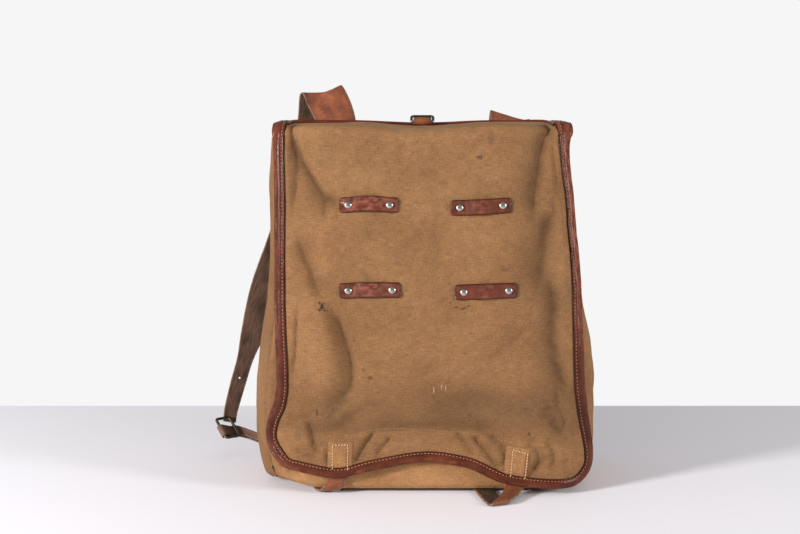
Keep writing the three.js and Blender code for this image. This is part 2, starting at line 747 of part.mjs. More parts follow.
const rivetSides = 8;
function rivetBody() {
  const shankEnd = -thinLeather - gap - canvasThickness - 2 * rivetLift;
  const tailRadius = 2.8;
  const tailThickness = 0.8;
  const profile = [
    new THREE.Vector2(0, shankEnd - tailThickness),
    new THREE.Vector2(tailRadius, shankEnd - tailThickness),
    new THREE.Vector2(tailRadius, shankEnd),
    new THREE.Vector2(rivetShankRadius, shankEnd),
    new THREE.Vector2(rivetShankRadius, rivetLift),
    new THREE.Vector2(rivetHeadRadius, rivetLift),
    new THREE.Vector2(rivetHeadRadius * 0.88, rivetLift + rivetHeadHeight * 0.5),
    new THREE.Vector2(rivetHeadRadius * 0.5, rivetLift + rivetHeadHeight * 0.9),
    new THREE.Vector2(0, rivetLift + rivetHeadHeight),
  ];
  const lathe = new THREE.LatheGeometry(profile, rivetSides);
  return cutAway(lathe, []);
}

for (const { name, x, z } of rivetPlaces()) {
  const normal = flapFaceNormal(x, z);
  const place = onFlap(x, z, gap + thinLeather);
  const turn = new THREE.Quaternion().setFromUnitVectors(new THREE.Vector3(0, 1, 0), normal);
  const rivet = rivetBody().applyQuaternion(turn).translate(place.x, place.y, place.z);
  addPiece(`rivet_${name}`, rivet, rivetLook);
}

// Closure patches and straps

for (const patch of closurePatches) {
  const columns = 4;
  const rows = 5;
  const sample = (i, j) => {
    const u = i / columns - 0.5;
    const x = patch.x + u * patch.width + patch.shift * (1 - j / rows);
    const bottom = readTable(flapHem, "x", "z", x) + patchAboveHem;
    const z = lerp(bottom, patch.z + u * patch.width * patch.slope, j / rows);
    return { point: onFlap(x, z, patchLift + canvasThickness), normal: flapFaceNormal(x, z) };
  };
  addPiece(`closure_patch_${patch.name}`, thickSheet(sample, columns, rows, canvasThickness), canvasLook);
}

// A strap whose section keeps one direction across it, so it may turn a corner aslant
function bandSolid(centres, across, width, thickness) {
  const section = stripSection(width, thickness);
  const last = centres.length - 1;
  const rings = centres.map((point, k) => {
    const along = centres[Math.min(k + 1, last)].clone().sub(centres[Math.max(k - 1, 0)]).normalize();
    return placeSection(section, point, across, along.cross(across).normalize());
  });
  return sweptSolid(rings, section);
}

function curveThrough(rows, steps) {
  const points = rows.map(({ x, y, z }) => new THREE.Vector3(x, y, z));
  return new THREE.CatmullRomCurve3(points, false, "centripetal").getPoints(steps);
}

for (const [side, rows] of Object.entries(closureStraps)) {
  const centres = curveThrough(rows, 3 * (rows.length - 1));
  addPiece(`closure_strap_${side}`, bandSolid(centres, acrossBag, closureStrapWidth, thinLeather), strapLook);
}

// Shoulder straps, buckles and lower straps

function shoulderStrap(rows) {
  const centres = curveThrough(rows, 2 * (rows.length - 1));
  const last = centres.length - 1;
  const frames = centres.map((point, k) => {
    const place = (k * (rows.length - 1)) / last;
    const row = Math.min(Math.floor(place), rows.length - 2);
    const part = place - row;
    const along = centres[Math.min(k + 1, last)].clone().sub(centres[Math.max(k - 1, 0)]).normalize();
    const tilt = lerp(rows[row].tilt, rows[row + 1].tilt, part);
    const across = new THREE.Vector3(Math.cos(tilt), 0, Math.sin(tilt));
    across.addScaledVector(along, -across.dot(along)).normalize();
    const width = lerp(rows[row].width, rows[row + 1].width, part);
    return { point, across, face: along.clone().cross(across), width };
  });
  const rings = frames.map(({ point, across, face, width }) =>
    placeSection(stripSection(width, strapThickness), point, across, face));
  const strap = sweptSolid(rings, stripSection(1, 1));
  const tongue = frames.slice(Math.floor(last / 2));
  const away = (frame) => Math.abs(frame.point.z - tongueHoleHeight);
  const nearest = tongue.reduce((a, b) => (away(a) < away(b) ? a : b));
  return cutAway(strap, [punch(nearest.point, nearest.face, tongueHoleRadius, strapThickness)]);
}

// A closed loop of round wire with rounded corners, in the plane of two directions
function wireFrame(middle, wide, tall, width, height, corner, radius) {
  const arcSteps = 3;
  const sides = 6;
  const section = roundSection(radius, sides);
  const inward = wide.clone().cross(tall).negate();
  const rings = [];
  for (let k = 0; k < 4; k += 1) {
    const signX = k === 0 || k === 3 ? 1 : -1;
    const signY = k < 2 ? 1 : -1;
    for (let step = 0; step <= arcSteps; step += 1) {
      const turn = (Math.PI / 2) * (k + step / arcSteps);
      const outward = wide.clone().multiplyScalar(Math.cos(turn)).addScaledVector(tall, Math.sin(turn));
      const point = middle.clone();
      point.addScaledVector(wide, signX * (width / 2 - corner));
      point.addScaledVector(tall, signY * (height / 2 - corner));
      point.addScaledVector(outward, corner);
      rings.push(placeSection(section, point, outward, inward));
    }
  }
  return sweptSolid(rings, section, true);
}

// Half turns of a strap's centre line round a bar, in the plane of two directions
function wrapRound(bar, first, second, radius, fromDegrees, toDegrees) {
  const steps = 6;
  return Array.from({ length: steps + 1 }, (_, k) => {
    const turn = THREE.MathUtils.degToRad(lerp(fromDegrees, toDegrees, k / steps));
    const point = bar.clone().addScaledVector(first, radius * Math.cos(turn));
    return point.addScaledVector(second, radius * Math.sin(turn));
  });
}

// The lower strap wraps the frame's outer bar, and both its layers pass behind the inner bar to the bag
const layerGap = 1.2;
const barClearance = 0.3;
const besideBar = 2;
const pastBar = 4;

function lowerStrap(buckle, middle, barWay, spanWay, faceWay) {
  const wrapRadius = wireRadius + gap + thinLeather / 2;
  const layerStep = thinLeather + layerGap;
  const strapMiddle = middle.clone().addScaledVector(barWay, buckle.slide);
  const outerBar = strapMiddle.clone().addScaledVector(spanWay, -buckleSpan / 2);
  const root = new THREE.Vector3(buckle.rootX, buckle.rootY, buckle.rootZ);
  const behind = (past, depth) =>
    strapMiddle.clone().addScaledVector(spanWay, buckleSpan / 2 + past).addScaledVector(faceWay, -depth);
  const nearDepth = wrapRadius + barClearance;
  const farDepth = nearDepth + layerStep;
  const centres = [
    root.clone().addScaledVector(faceWay, layerStep),
    behind(pastBar, nearDepth),
    behind(-besideBar, nearDepth),
    ...wrapRound(outerBar, spanWay, faceWay, wrapRadius, 75, 285),
    behind(-besideBar, farDepth),
    behind(pastBar, farDepth),
    root,
  ];
  return bandSolid(centres, barWay, lowerStrapWidth, thinLeather);
}

for (const [side, buckle] of Object.entries(strapBuckles)) {
  const middle = new THREE.Vector3(buckle.x, buckle.y, buckle.z);
  const spanWay = new THREE.Vector3(Math.cos(buckle.turn), Math.sin(buckle.turn), 0);
  const forward = new THREE.Vector3(Math.sin(buckle.turn), -Math.cos(buckle.turn), 0);
  const barWay = forward.multiplyScalar(Math.sin(buckle.lean)).addScaledVector(up, -Math.cos(buckle.lean));
  const faceWay = barWay.clone().cross(spanWay);
  const frame = wireFrame(middle, spanWay, barWay, buckleSpan, buckleBar, buckleCorner, wireRadius);
  addPiece(`strap_buckle_${side}`, cutAway(frame, []), steelLook);
  addPiece(`lower_strap_${side}`, lowerStrap(buckle, middle, barWay, spanWay, faceWay), strapLook);
  addPiece(`shoulder_strap_${side}`, shoulderStrap(shoulderStraps[side]), strapLook);
}

// The ring at the middle of the top, held by a rolled leather tab
const ringX = topSagMiddle;
const ringWidth = 23.4;
const ringHeight = 9.5;
const ringCorner = 2.6;
const ringLean = THREE.MathUtils.degToRad(40);
const ringBarY = 49;
const ringBarZ = 373.5;
const tabWidth = 18.5;
const tabThickness = 1.6;

const ringUp = new THREE.Vector3(0, Math.sin(ringLean), Math.cos(ringLean));
const ringBar = new THREE.Vector3(ringX, ringBarY, ringBarZ);
const ringMiddle = ringBar.clone().addScaledVector(ringUp, ringHeight / 2);
const ringWire = wireFrame(ringMiddle, acrossBag, ringUp, ringWidth, ringHeight, ringCorner, wireRadius);
addPiece("top_ring", ringWire, steelLook);

// The tab's two ends lie behind the bar, a little nearer each other than its roll is thick
const tabRadius = wireRadius + gap + tabThickness / 2;
const tabLowerEnd = { behind: 4.6, closer: 0.3 };
const tabUpperEnd = { behind: 3.4, closer: 0.2 };
const tabCentres = [
  new THREE.Vector3(ringX, ringBarY + tabLowerEnd.behind, ringBarZ - tabRadius + tabLowerEnd.closer),
  ...wrapRound(ringBar, new THREE.Vector3(0, 1, 0), up, tabRadius, 270, 90),
  new THREE.Vector3(ringX, ringBarY + tabUpperEnd.behind, ringBarZ + tabRadius - tabUpperEnd.closer),
];
addPiece("ring_tab", bandSolid(tabCentres, acrossBag, tabWidth, tabThickness), strapLook);

export default rucksack;
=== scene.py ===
# An old canvas rucksack with leather binding and straps, standing on its base.
# Worked out in millimetres in the model's own frame: +Z up, the front faces -Y, the base is at 0.

import math

import bmesh
import bpy
import numpy as np
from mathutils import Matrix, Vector


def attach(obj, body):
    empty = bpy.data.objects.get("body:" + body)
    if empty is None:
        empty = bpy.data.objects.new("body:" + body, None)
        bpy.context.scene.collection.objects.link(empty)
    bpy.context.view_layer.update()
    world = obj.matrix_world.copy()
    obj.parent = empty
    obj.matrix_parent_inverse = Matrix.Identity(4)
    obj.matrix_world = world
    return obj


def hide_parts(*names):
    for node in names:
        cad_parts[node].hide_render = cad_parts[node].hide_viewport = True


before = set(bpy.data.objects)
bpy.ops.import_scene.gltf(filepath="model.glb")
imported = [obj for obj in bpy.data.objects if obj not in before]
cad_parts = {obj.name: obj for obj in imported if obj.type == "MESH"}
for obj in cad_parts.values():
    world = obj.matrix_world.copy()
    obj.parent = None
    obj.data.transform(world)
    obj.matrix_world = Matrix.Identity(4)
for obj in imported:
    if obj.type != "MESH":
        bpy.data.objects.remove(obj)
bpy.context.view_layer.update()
millimetre = 0.001
sharpFrom = math.radians(48)  # faces that meet at more than this keep a sharp edge
print("frame loaded:", len(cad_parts), "nodes")


# Small tools for shapes

def smooth(edge0, edge1, value):
    t = np.clip((value - edge0) / (edge1 - edge0), 0, 1)
    return t * t * (3 - 2 * t)


def mix(a, b, t):
    return a + (b - a) * t


def unit(vectors):
    return vectors / np.linalg.norm(vectors, axis=-1, keepdims=True)


# Smooth value of one column of a table between its rows, with no overshoot; the first column is the key
def readTable(table, column, at):
    rows = np.array(table, float)
    keys = rows[:, 0]
    values = rows[:, column]
    spans = np.diff(keys)
    rises = np.diff(values) / spans
    before = np.append(rises[:1], rises)
    after = np.append(rises, rises[-1:])
    product = before * after
    slopes = np.where(product > 0, 2 * product / np.where(product > 0, before + after, 1), 0)
    place = np.clip(at, keys[0], keys[-1])
    i = np.clip(np.searchsorted(keys, place, side="right") - 1, 0, len(keys) - 2)
    t = (place - keys[i]) / spans[i]
    rest = 1 - t
    ends = values[i] * (1 + 2 * t) * rest ** 2 + values[i + 1] * (3 - 2 * t) * t ** 2
    return ends + spans[i] * t * rest * (slopes[i] * rest - slopes[i + 1] * t)


# Soft unevenness between -1 and 1, with humps about as wide as cell
def unevenness(u, v, cell, seed):
    size = 64  # the pattern repeats after this many cells
    lattice = np.random.default_rng(seed).uniform(-1, 1, (size, size))
    a = np.asarray(u, float) / cell
    b = np.asarray(v, float) / cell
    i = np.floor(a).astype(int)
    j = np.floor(b).astype(int)
    s, t = [share ** 3 * (share * (share * 6 - 15) + 10) for share in (a - i, b - j)]
    low, high = [mix(lattice[i % size, k % size], lattice[(i + 1) % size, k % size], s) for k in (j, j + 1)]
    return mix(low, high, t)


# A smooth curve through points; columns after the first three, such as a width, follow it
def curveThrough(rows, stepsPerSpan):
    points = np.array(rows, float)
    ends = np.vstack([2 * points[0] - points[1], points, 2 * points[-1] - points[-2]])
    t = np.arange(stepsPerSpan)[:, None] / stepsPerSpan
    pieces = []
    for k in range(len(points) - 1):
        a, b, c, d = ends[k:k + 4]
        spans = ((a, b), (b, c), (c, d))
        spanA, spanB, spanC = [max(np.linalg.norm(q[:3] - p[:3]) ** 0.5, 1e-4) for p, q in spans]
        leave = ((b - a) / spanA - (c - a) / (spanA + spanB) + (c - b) / spanB) * spanB
        reach = ((c - b) / spanB - (d - b) / (spanB + spanC) + (d - c) / spanC) * spanB
        pieces.append(b + leave * t + (3 * (c - b) - 2 * leave - reach) * t ** 2
                      + (2 * (b - c) + leave + reach) * t ** 3)
    return np.vstack(pieces + [points[-1:]])


def lengthsAlong(points):
    return np.append(0, np.cumsum(np.linalg.norm(np.diff(points, axis=0), axis=1)))


def gridFaces(rows, columns, start=0, wrapColumns=False, wrapRows=False):
    r, c = np.meshgrid(np.arange(rows if wrapRows else rows - 1),
                       np.arange(columns if wrapColumns else columns - 1), indexing="ij")
    r2 = (r + 1) % rows
    c2 = (c + 1) % columns
    corners = [r * columns + c, r * columns + c2, r2 * columns + c2, r2 * columns + c]
    return np.stack(corners, -1).reshape(-1, 4) + start


# A closed sheet of even thickness behind a grid of outer points
def clothSheet(outer, normals, thickness, cut, **values):
    rows, columns = outer.shape[:2]
    count = rows * columns
    ids = np.arange(count).reshape(rows, columns)
    loop = np.concatenate([ids[0, :-1], ids[:-1, -1], ids[-1, :0:-1], ids[:0:-1, 0]])
    after = np.roll(loop, -1)
    rim = np.stack([after, loop, loop + count, after + count], -1)
    faces = np.concatenate([gridFaces(rows, columns), gridFaces(rows, columns, count)[:, ::-1], rim])
    inner = outer - normals * np.reshape(thickness, np.shape(thickness) + (1,) * (3 - np.ndim(thickness)))
    return {
        "points": np.concatenate([outer.reshape(-1, 3), inner.reshape(-1, 3)]),
        "faces": faces.tolist(),
        "cut": np.concatenate([cut.reshape(-1, 2)] * 2),
        "values": {key: np.concatenate([value.ravel()] * 2) for key, value in values.items()},
    }


# A solid along a line: each section is laid out on its own sideways and upward directions
def sweep(centres, sideways, upwards, section, closed=False, lookOf=None, **values):
    rings = len(centres)
    section = np.broadcast_to(section, (rings,) + np.shape(section)[-2:])
    count = section.shape[1]
    points = centres[:, None] + sideways[:, None] * section[..., :1] + upwards[:, None] * section[..., 1:]
    faces = gridFaces(rings, count, wrapColumns=True, wrapRows=closed)
    looks = np.zeros(len(faces), int) if lookOf is None else np.tile(lookOf, len(faces) // count)
    faces = faces.tolist()
    if not closed:
        faces += [list(range(count))[::-1], list(range((rings - 1) * count, rings * count))]
        looks = np.append(looks, [looks.max()] * 2)
    along = np.broadcast_to(lengthsAlong(centres)[:, None], (rings, count))
    return {
        "points": points.reshape(-1, 3),
        "faces": faces,
        "looks": looks,
        "cut": np.stack([section[..., 0], along], -1).reshape(-1, 2),
        "values": {key: np.broadcast_to(value, (rings, count)).ravel() for key, value in values.items()},
    }


# Leather strips: steps across a face and round an edge, the share of the half thickness at which a face ends,
# the width of the dark edge, and the size of the ripples
leatherStrip = {"flatSteps": 8, "arcSteps": 5, "faceEnd": 0.95, "darkEdge": 2.6, "rippleCell": 26,
                "rippleStretch": 0.6}


# Section of a strip with round edges: multiples of its flat half width, its edge radius and its half height
def stripPattern():
    across = np.linspace(-1, 1, leatherStrip["flatSteps"] + 1)
    turn = np.linspace(-math.pi / 2, math.pi / 2, leatherStrip["arcSteps"] + 2)[1:-1]
    ones = np.ones(len(turn))
    zeros = np.zeros(len(across))
    wide = np.concatenate([across, ones, -across, -ones])
    edge = np.concatenate([zeros, np.cos(turn), zeros, -np.cos(turn)])
    high = np.concatenate([zeros - 1, np.sin(turn), zeros + 1, -np.sin(turn)])
    return wide, edge, high


# A leather strip: look 0 is its upper face, look 1 its lower face and look 2 its cut edges
def strip(centres, across, face, width, thickness, ripple=0, seed=0):
    wide, edge, high = stripPattern()
    width = np.broadcast_to(width, len(centres))[:, None]
    half = thickness / 2
    x = wide * (width / 2 - half) + edge * half
    along = lengthsAlong(centres)[:, None]
    y = high * half
    y = y + ripple * unevenness(x * leatherStrip["rippleStretch"], along, leatherStrip["rippleCell"], seed)
    middle = (high + np.roll(high, -1)) / 2
    faceEnd = leatherStrip["faceEnd"]
    lookOf = np.where(middle > faceEnd, 0, np.where(middle < -faceEnd, 1, 2))
    near = np.clip(1 - (width / 2 - np.abs(x)) / leatherStrip["darkEdge"], 0, 1)
    return sweep(centres, across, face, np.stack([x, y], -1), lookOf=lookOf, edge=near)


def alongOf(points):
    return unit(np.gradient(points, axis=0))


# Rows of values along a line, read at distances from its start
def readAt(at, along, rows):
    return np.stack([np.interp(at, along, column) for column in rows.T], -1)


# Short rounded threads: shares of the length and of the girth at their stations, how far their ends are sunk,
# and how much they slant and differ in length
thread = {"stations": (-0.5, -0.36, 0, 0.36, 0.5), "girths": (0.3, 0.85, 1, 0.85, 0.3), "sides": 6,
          "sink": 2.4, "slant": 0.16, "spread": 0.12}


# A row of stitches along a line, drawn with the second look of its piece
def stitchRow(line, upward, pitch, length, radius, seed):
    run = lengthsAlong(line)
    at = np.arange(pitch / 2, run[-1], pitch)
    places = readAt(at, run, line)
    alongs = unit(readAt(at, run, alongOf(line)))
    ups = unit(readAt(at, run, upward))
    sides = unit(np.cross(ups, alongs))
    shift = np.random.default_rng(seed).uniform(-1, 1, (len(places), 2))
    slant = alongs + sides * shift[:, :1] * thread["slant"]
    grown = 1 + thread["spread"] * shift[:, 1:]
    stations = np.array(thread["stations"])[:, None]
    girths = np.array(thread["girths"])[:, None]
    turn = np.arange(thread["sides"]) * math.pi / (thread["sides"] / 2)
    a = stations * length + 0 * turn
    b = girths * radius * np.cos(turn)
    c = girths * radius * np.sin(turn) - thread["sink"] * radius * stations ** 2
    points = (places[:, None, None] + slant[:, None, None] * a[None, ..., None] * grown[:, None, None]
              + sides[:, None, None] * b[None, ..., None] + ups[:, None, None] * c[None, ..., None])
    rows, columns = a.shape
    count = rows * columns
    one = gridFaces(rows, columns, wrapColumns=True).tolist()
    one += [list(range(columns))[::-1], list(range(count - columns, count))]
    faces = [[count * k + index for index in face] for k in range(len(places)) for face in one]
    cut = np.broadcast_to(np.stack([a, b], -1), (len(places), rows, columns, 2)).reshape(-1, 2)
    return {"points": points.reshape(-1, 3), "faces": faces, "cut": cut, "values": {}, "firstLook": 1}


# Joins mesh parts into one object that stands for a CAD node
def addPiece(name, parts, node, looks):
    points = np.concatenate([part["points"] for part in parts]) * millimetre
    faces = []
    faceLooks = []
    start = 0
    for part in parts:
        faces += [[start + index for index in face] for face in part["faces"]]
        faceLooks.append(part.get("looks", np.zeros(len(part["faces"]), int)) + part.get("firstLook", 0))
        start += len(part["points"])
    mesh = bpy.data.meshes.new(name)
    mesh.from_pydata(points.tolist(), [], faces)
    mesh.polygons.foreach_set("material_index", np.concatenate(faceLooks))
    shape = bmesh.new()
    shape.from_mesh(mesh)
    bmesh.ops.recalc_face_normals(shape, faces=shape.faces)
    shape.to_mesh(mesh)
    shape.free()
    vertexOf = np.zeros(len(mesh.loops), np.int32)
    mesh.loops.foreach_get("vertex_index", vertexOf)
    cut = np.concatenate([part["cut"] for part in parts])
    mesh.uv_layers.new(name="cut").data.foreach_set("uv", cut[vertexOf].ravel())
    for key in sorted({key for part in parts for key in part["values"]}):
        values = [part["values"].get(key, np.zeros(len(part["points"]))) for part in parts]
        mesh.attributes.new(key, "FLOAT", "POINT").data.foreach_set("value", np.concatenate(values))
    for look in looks:
        mesh.materials.append(look)
    mesh.shade_smooth()
    mesh.set_sharp_from_angle(angle=sharpFrom)
    piece = bpy.data.objects.new(name, mesh)
    bpy.context.scene.collection.objects.link(piece)
    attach(piece, "root")
    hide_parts(node)
    return piece


# Round holes through a piece, at places along directions
def punchHoles(piece, places, ways, radius, reach=6):
    shape = bmesh.new()
    for place, way in zip(places, ways):
        turn = Vector(way).to_track_quat("Z", "Y").to_matrix().to_4x4()
        turn.translation = Vector(place) * millimetre
        bmesh.ops.create_cone(shape, cap_ends=True, segments=20, radius1=radius * millimetre,
                              radius2=radius * millimetre, depth=2 * reach * millimetre, matrix=turn)
    punchMesh = bpy.data.meshes.new("punch")
    shape.to_mesh(punchMesh)
    shape.free()
    punch = bpy.data.objects.new("punch", punchMesh)
    bpy.context.scene.collection.objects.link(punch)
    holes = piece.modifiers.new("holes", "BOOLEAN")
    holes.object = punch
    whole = piece.data
    punched = piece.evaluated_get(bpy.context.evaluated_depsgraph_get())
    piece.data = bpy.data.meshes.new_from_object(punched)
    piece.modifiers.clear()
    piece.data.set_sharp_from_angle(angle=sharpFrom)
    bpy.data.objects.remove(punch)
    bpy.data.meshes.remove(whole)
    piece.data.name = piece.name


# Materials: patterns are laid out on the pieces' own cut, in millimetres

def linear(hexColour):
    parts = [int(hexColour[k:k + 2], 16) / 255 for k in (1, 3, 5)]
    return [p / 12.92 if p <= 0.04045 else ((p + 0.055) / 1.055) ** 2.4 for p in parts] + [1]


# Inputs are a list in the order of the node's sockets, or a dictionary by the sockets' names
def addNode(tree, kind, inputs=(), **settings):
    node = tree.nodes.new("ShaderNode" + kind)
    for key, value in settings.items():
        setattr(node, key, value)
    for key, value in inputs.items() if isinstance(inputs, dict) else enumerate(inputs):
        if isinstance(value, bpy.types.Node):
            value = value.outputs[0]
        if isinstance(value, bpy.types.NodeSocket):
            tree.links.new(value, node.inputs[key])
        else:
            node.inputs[key].default_value = value
    return node


def startLook(name):
    look = bpy.data.materials.new(name)
    look.use_nodes = True
    look.node_tree.nodes.clear()
    return look, look.node_tree


def endLook(look, inputs):
    shader = addNode(look.node_tree, "BsdfPrincipled", inputs)
    addNode(look.node_tree, "OutputMaterial", {"Surface": shader})
    return look


# Cloudy pattern whose clouds are about wide by tall millimetres
def clouds(tree, wide, tall, detail=2, shift=0):
    place = addNode(tree, "UVMap", uv_map="cut")
    sized = addNode(tree, "Mapping", {"Vector": place, "Location": (shift, shift, 0),
                                      "Scale": (1 / wide, 1 / tall, 1)})
    return addNode(tree, "TexNoise", {"Vector": sized, "Scale": 1, "Detail": detail})


# Colour that goes from first to second where a pattern goes from low to high
def twoTones(tree, pattern, low, high, first, second):
    share = addNode(tree, "MapRange", [pattern, low, high])
    return addNode(tree, "MixRGB", [share, linear(first), linear(second)])


# Heavy cotton canvas, plain woven, dyed tan and faded: matte and finely mottled, with a faint weave,
# cloudy fading, painted shade and dirt in the folds, painted light where a piece asks for it, and small
# dark or pale marks with ragged edges
def cottonCanvas(name, light, dark, dirt_and_shade, marks=()):
    look, tree = startLook(name)
    fading = clouds(tree, 70, 70)
    blotches = clouds(tree, 10, 9, 3, 4.3)
    nap = clouds(tree, 1.8, 1.3, 2, 6.6)
    warp = clouds(tree, 0.9, 5, 1, 9.1)  # threads are about 0.7 mm; drawn 0.9 mm wide to show
    weft = clouds(tree, 8, 0.9, 1, 2.7)
    specks = clouds(tree, 2.4, 1.2, 1, 8.8)
    colour = twoTones(tree, fading, 0.3, 0.7, light, dark)
    for pattern, strength in ((blotches, 0.24), (nap, 0.24), (warp, 0.28), (weft, 0.36)):
        colour = addNode(tree, "MixRGB", [strength, colour, pattern], blend_type="OVERLAY")
    specked = addNode(tree, "MapRange", [specks, 0.65, 0.73, 0, 0.5])
    colour = addNode(tree, "MixRGB", [specked, colour, linear(dirt_and_shade)])
    # Painted light: the canvas is made paler where a piece asks, over the flap's top bend and the front
    # panel; on ridges it is partly fading
    clean = addNode(tree, "Attribute", attribute_name="clean").outputs["Fac"]
    colour = addNode(tree, "MixRGB", [clean, colour, (1.5, 1.5, 1.5, 1)], blend_type="MULTIPLY")
    # Darkening from the pieces: painted shade in fold valleys and over the left gusset, dirt at seams and
    # patches, and above the flap's hem partly soil, partly painted shade
    folds = addNode(tree, "Attribute", attribute_name="fold").outputs["Fac"]
    patchy = addNode(tree, "MapRange", [blotches, 0.3, 0.6, 0.3, 0.6])
    soiled_and_shaded = addNode(tree, "Math", [folds, patchy], operation="MULTIPLY")
    colour = addNode(tree, "MixRGB", [soiled_and_shaded, colour, linear(dirt_and_shade)])
    place = addNode(tree, "UVMap", uv_map="cut")
    frayed = clouds(tree, 2.2, 2.2, 2, 3.1).outputs["Color"]
    fray = 3  # how far a mark's edge wanders
    ragged = addNode(tree, "VectorMath", [frayed, (fray, fray, 0), place], operation="MULTIPLY_ADD")
    for x, z, wide, tall, strength, tint in marks:
        middle = (-(x + fray / 2) / wide, -(z + fray / 2) / tall, 0)
        scale = (1 / wide, 1 / tall, 0)
        spot = addNode(tree, "Mapping", {"Vector": ragged, "Location": middle, "Scale": scale})
        away = addNode(tree, "VectorMath", [spot], operation="LENGTH").outputs["Value"]
        stain = addNode(tree, "MapRange", [away, 0.45, 1, strength, 0])
        colour = addNode(tree, "MixRGB", [stain, colour, linear(tint)])
    threads = addNode(tree, "Math", [warp, weft], operation="ADD")
    height = addNode(tree, "Math", [threads, nap], operation="ADD")
    bump = addNode(tree, "Bump", {"Strength": 0.4, "Distance": 0.0005, "Height": height})
    return endLook(look, {"Base Color": colour, "Roughness": 0.93, "Specular IOR Level": 0.2,
                          "Sheen Weight": 0.05, "Sheen Roughness": 0.5, "Sheen Tint": linear("#e0c098"),
                          "Normal": bump})


# Dressed leather, grain side: smooth and a little glossy, with pores, fine creases across and rubbed edges
def grainLeather(name, light, dark, rubbed, edge, gloss, shine=0.3, polish=0.0, cell=(12, 22)):
    look, tree = startLook(name)
    tone = clouds(tree, *cell, 3, 1.3)
    creases = clouds(tree, 9, 1.5, 2, 7.7)
    pores = clouds(tree, 0.9, 0.9, 1, 3.9)  # pores are about 0.2 mm; drawn coarser to show
    colour = twoTones(tree, tone, 0.36, 0.64, light, dark)
    for pattern, strength in ((creases, 0.42), (pores, 0.25)):
        colour = addNode(tree, "MixRGB", [strength, colour, pattern], blend_type="OVERLAY")
    worn = addNode(tree, "Attribute", attribute_name="worn").outputs["Fac"]
    scuffs = addNode(tree, "MapRange", [clouds(tree, 4, 9, 4, 5.2), 0.42, 0.62])
    wear = addNode(tree, "Math", [worn, scuffs], operation="MULTIPLY")
    colour = addNode(tree, "MixRGB", [wear, colour, linear(rubbed)])
    # Dark edges: burnished on straps and keepers; on the binding they also carry painted shade at its
    # stitches and rim
    edges = addNode(tree, "Attribute", attribute_name="edge").outputs["Fac"]
    darkened = addNode(tree, "Math", [edges, 0.9], operation="MULTIPLY")
    colour = addNode(tree, "MixRGB", [darkened, colour, linear(edge)])
    height = addNode(tree, "Math", [creases, pores], operation="ADD")
    bump = addNode(tree, "Bump", {"Strength": 0.35, "Distance": 0.0004, "Height": height})
    plain = addNode(tree, "MapRange", [tone, 0.3, 0.7, gloss - 0.04, gloss + 0.1])
    roughness = addNode(tree, "Math", [worn, -0.16, plain], operation="MULTIPLY_ADD")  # rubbed bright
    return endLook(look, {"Base Color": colour, "Roughness": roughness, "IOR": 1.5,
                          "Specular IOR Level": shine, "Coat Weight": polish, "Coat Roughness": 0.12,
                          "Normal": bump, "Coat Normal": bump})


# The flesh side of strap leather: matte and fibrous, dark with old grease, in streaks along the strap
def fleshLeather(name, light, dark):
    look, tree = startLook(name)
    fibres = clouds(tree, 1.3, 16, 3, 2.2)
    tone = clouds(tree, 14, 30, 2, 8.4)
    nap = clouds(tree, 1.6, 2.2, 2, 5.9)
    streaks = addNode(tree, "Math", [fibres, tone], operation="ADD")
    colour = twoTones(tree, streaks, 0.8, 1.25, dark, light)
    colour = addNode(tree, "MixRGB", [0.35, colour, nap], blend_type="OVERLAY")
    bump = addNode(tree, "Bump", {"Strength": 0.6, "Distance": 0.0006, "Height": fibres})
    return endLook(look, {"Base Color": colour, "Roughness": 0.88, "IOR": 1.5, "Specular IOR Level": 0.25,
                          "Normal": bump})


# The cut edge of strap leather: raw fibre in layers, a little lighter than the faces
def cutLeather(name, light, dark):
    look, tree = startLook(name)
    layers = clouds(tree, 3, 5, 3, 1.1)
    colour = twoTones(tree, layers, 0.35, 0.65, dark, light)
    bump = addNode(tree, "Bump", {"Strength": 0.4, "Distance": 0.0004, "Height": layers})
    return endLook(look, {"Base Color": colour, "Roughness": 0.75, "IOR": 1.5, "Specular IOR Level": 0.3,
                          "Normal": bump})


# Steel, drawn or pressed, then plated or left to tarnish: mirror-like where rubbed and duller in blotches
def handledSteel(name, light, dark, shine, dull):
    look, tree = startLook(name)
    tarnish = clouds(tree, 3, 4, 3, 6.1)
    colour = twoTones(tree, tarnish, 0.35, 0.65, light, dark)
    roughness = addNode(tree, "MapRange", [tarnish, 0.3, 0.7, shine, dull])
    bump = addNode(tree, "Bump", {"Strength": 0.15, "Distance": 0.0002, "Height": tarnish})
    return endLook(look, {"Base Color": colour, "Metallic": 1, "Roughness": roughness, "Normal": bump})


# Waxed linen thread, twisted: pale against the leather, with a darker twist
def linenThread(name, light, dark):
    look, tree = startLook(name)
    twist = clouds(tree, 1.2, 0.7, 2, 3.3)  # the twist is about 0.4 mm; drawn coarser to show
    colour = twoTones(tree, twist, 0.35, 0.65, light, dark)
    bump = addNode(tree, "Bump", {"Strength": 0.4, "Distance": 0.0003, "Height": twist})
    return endLook(look, {"Base Color": colour, "Roughness": 0.7, "Normal": bump})


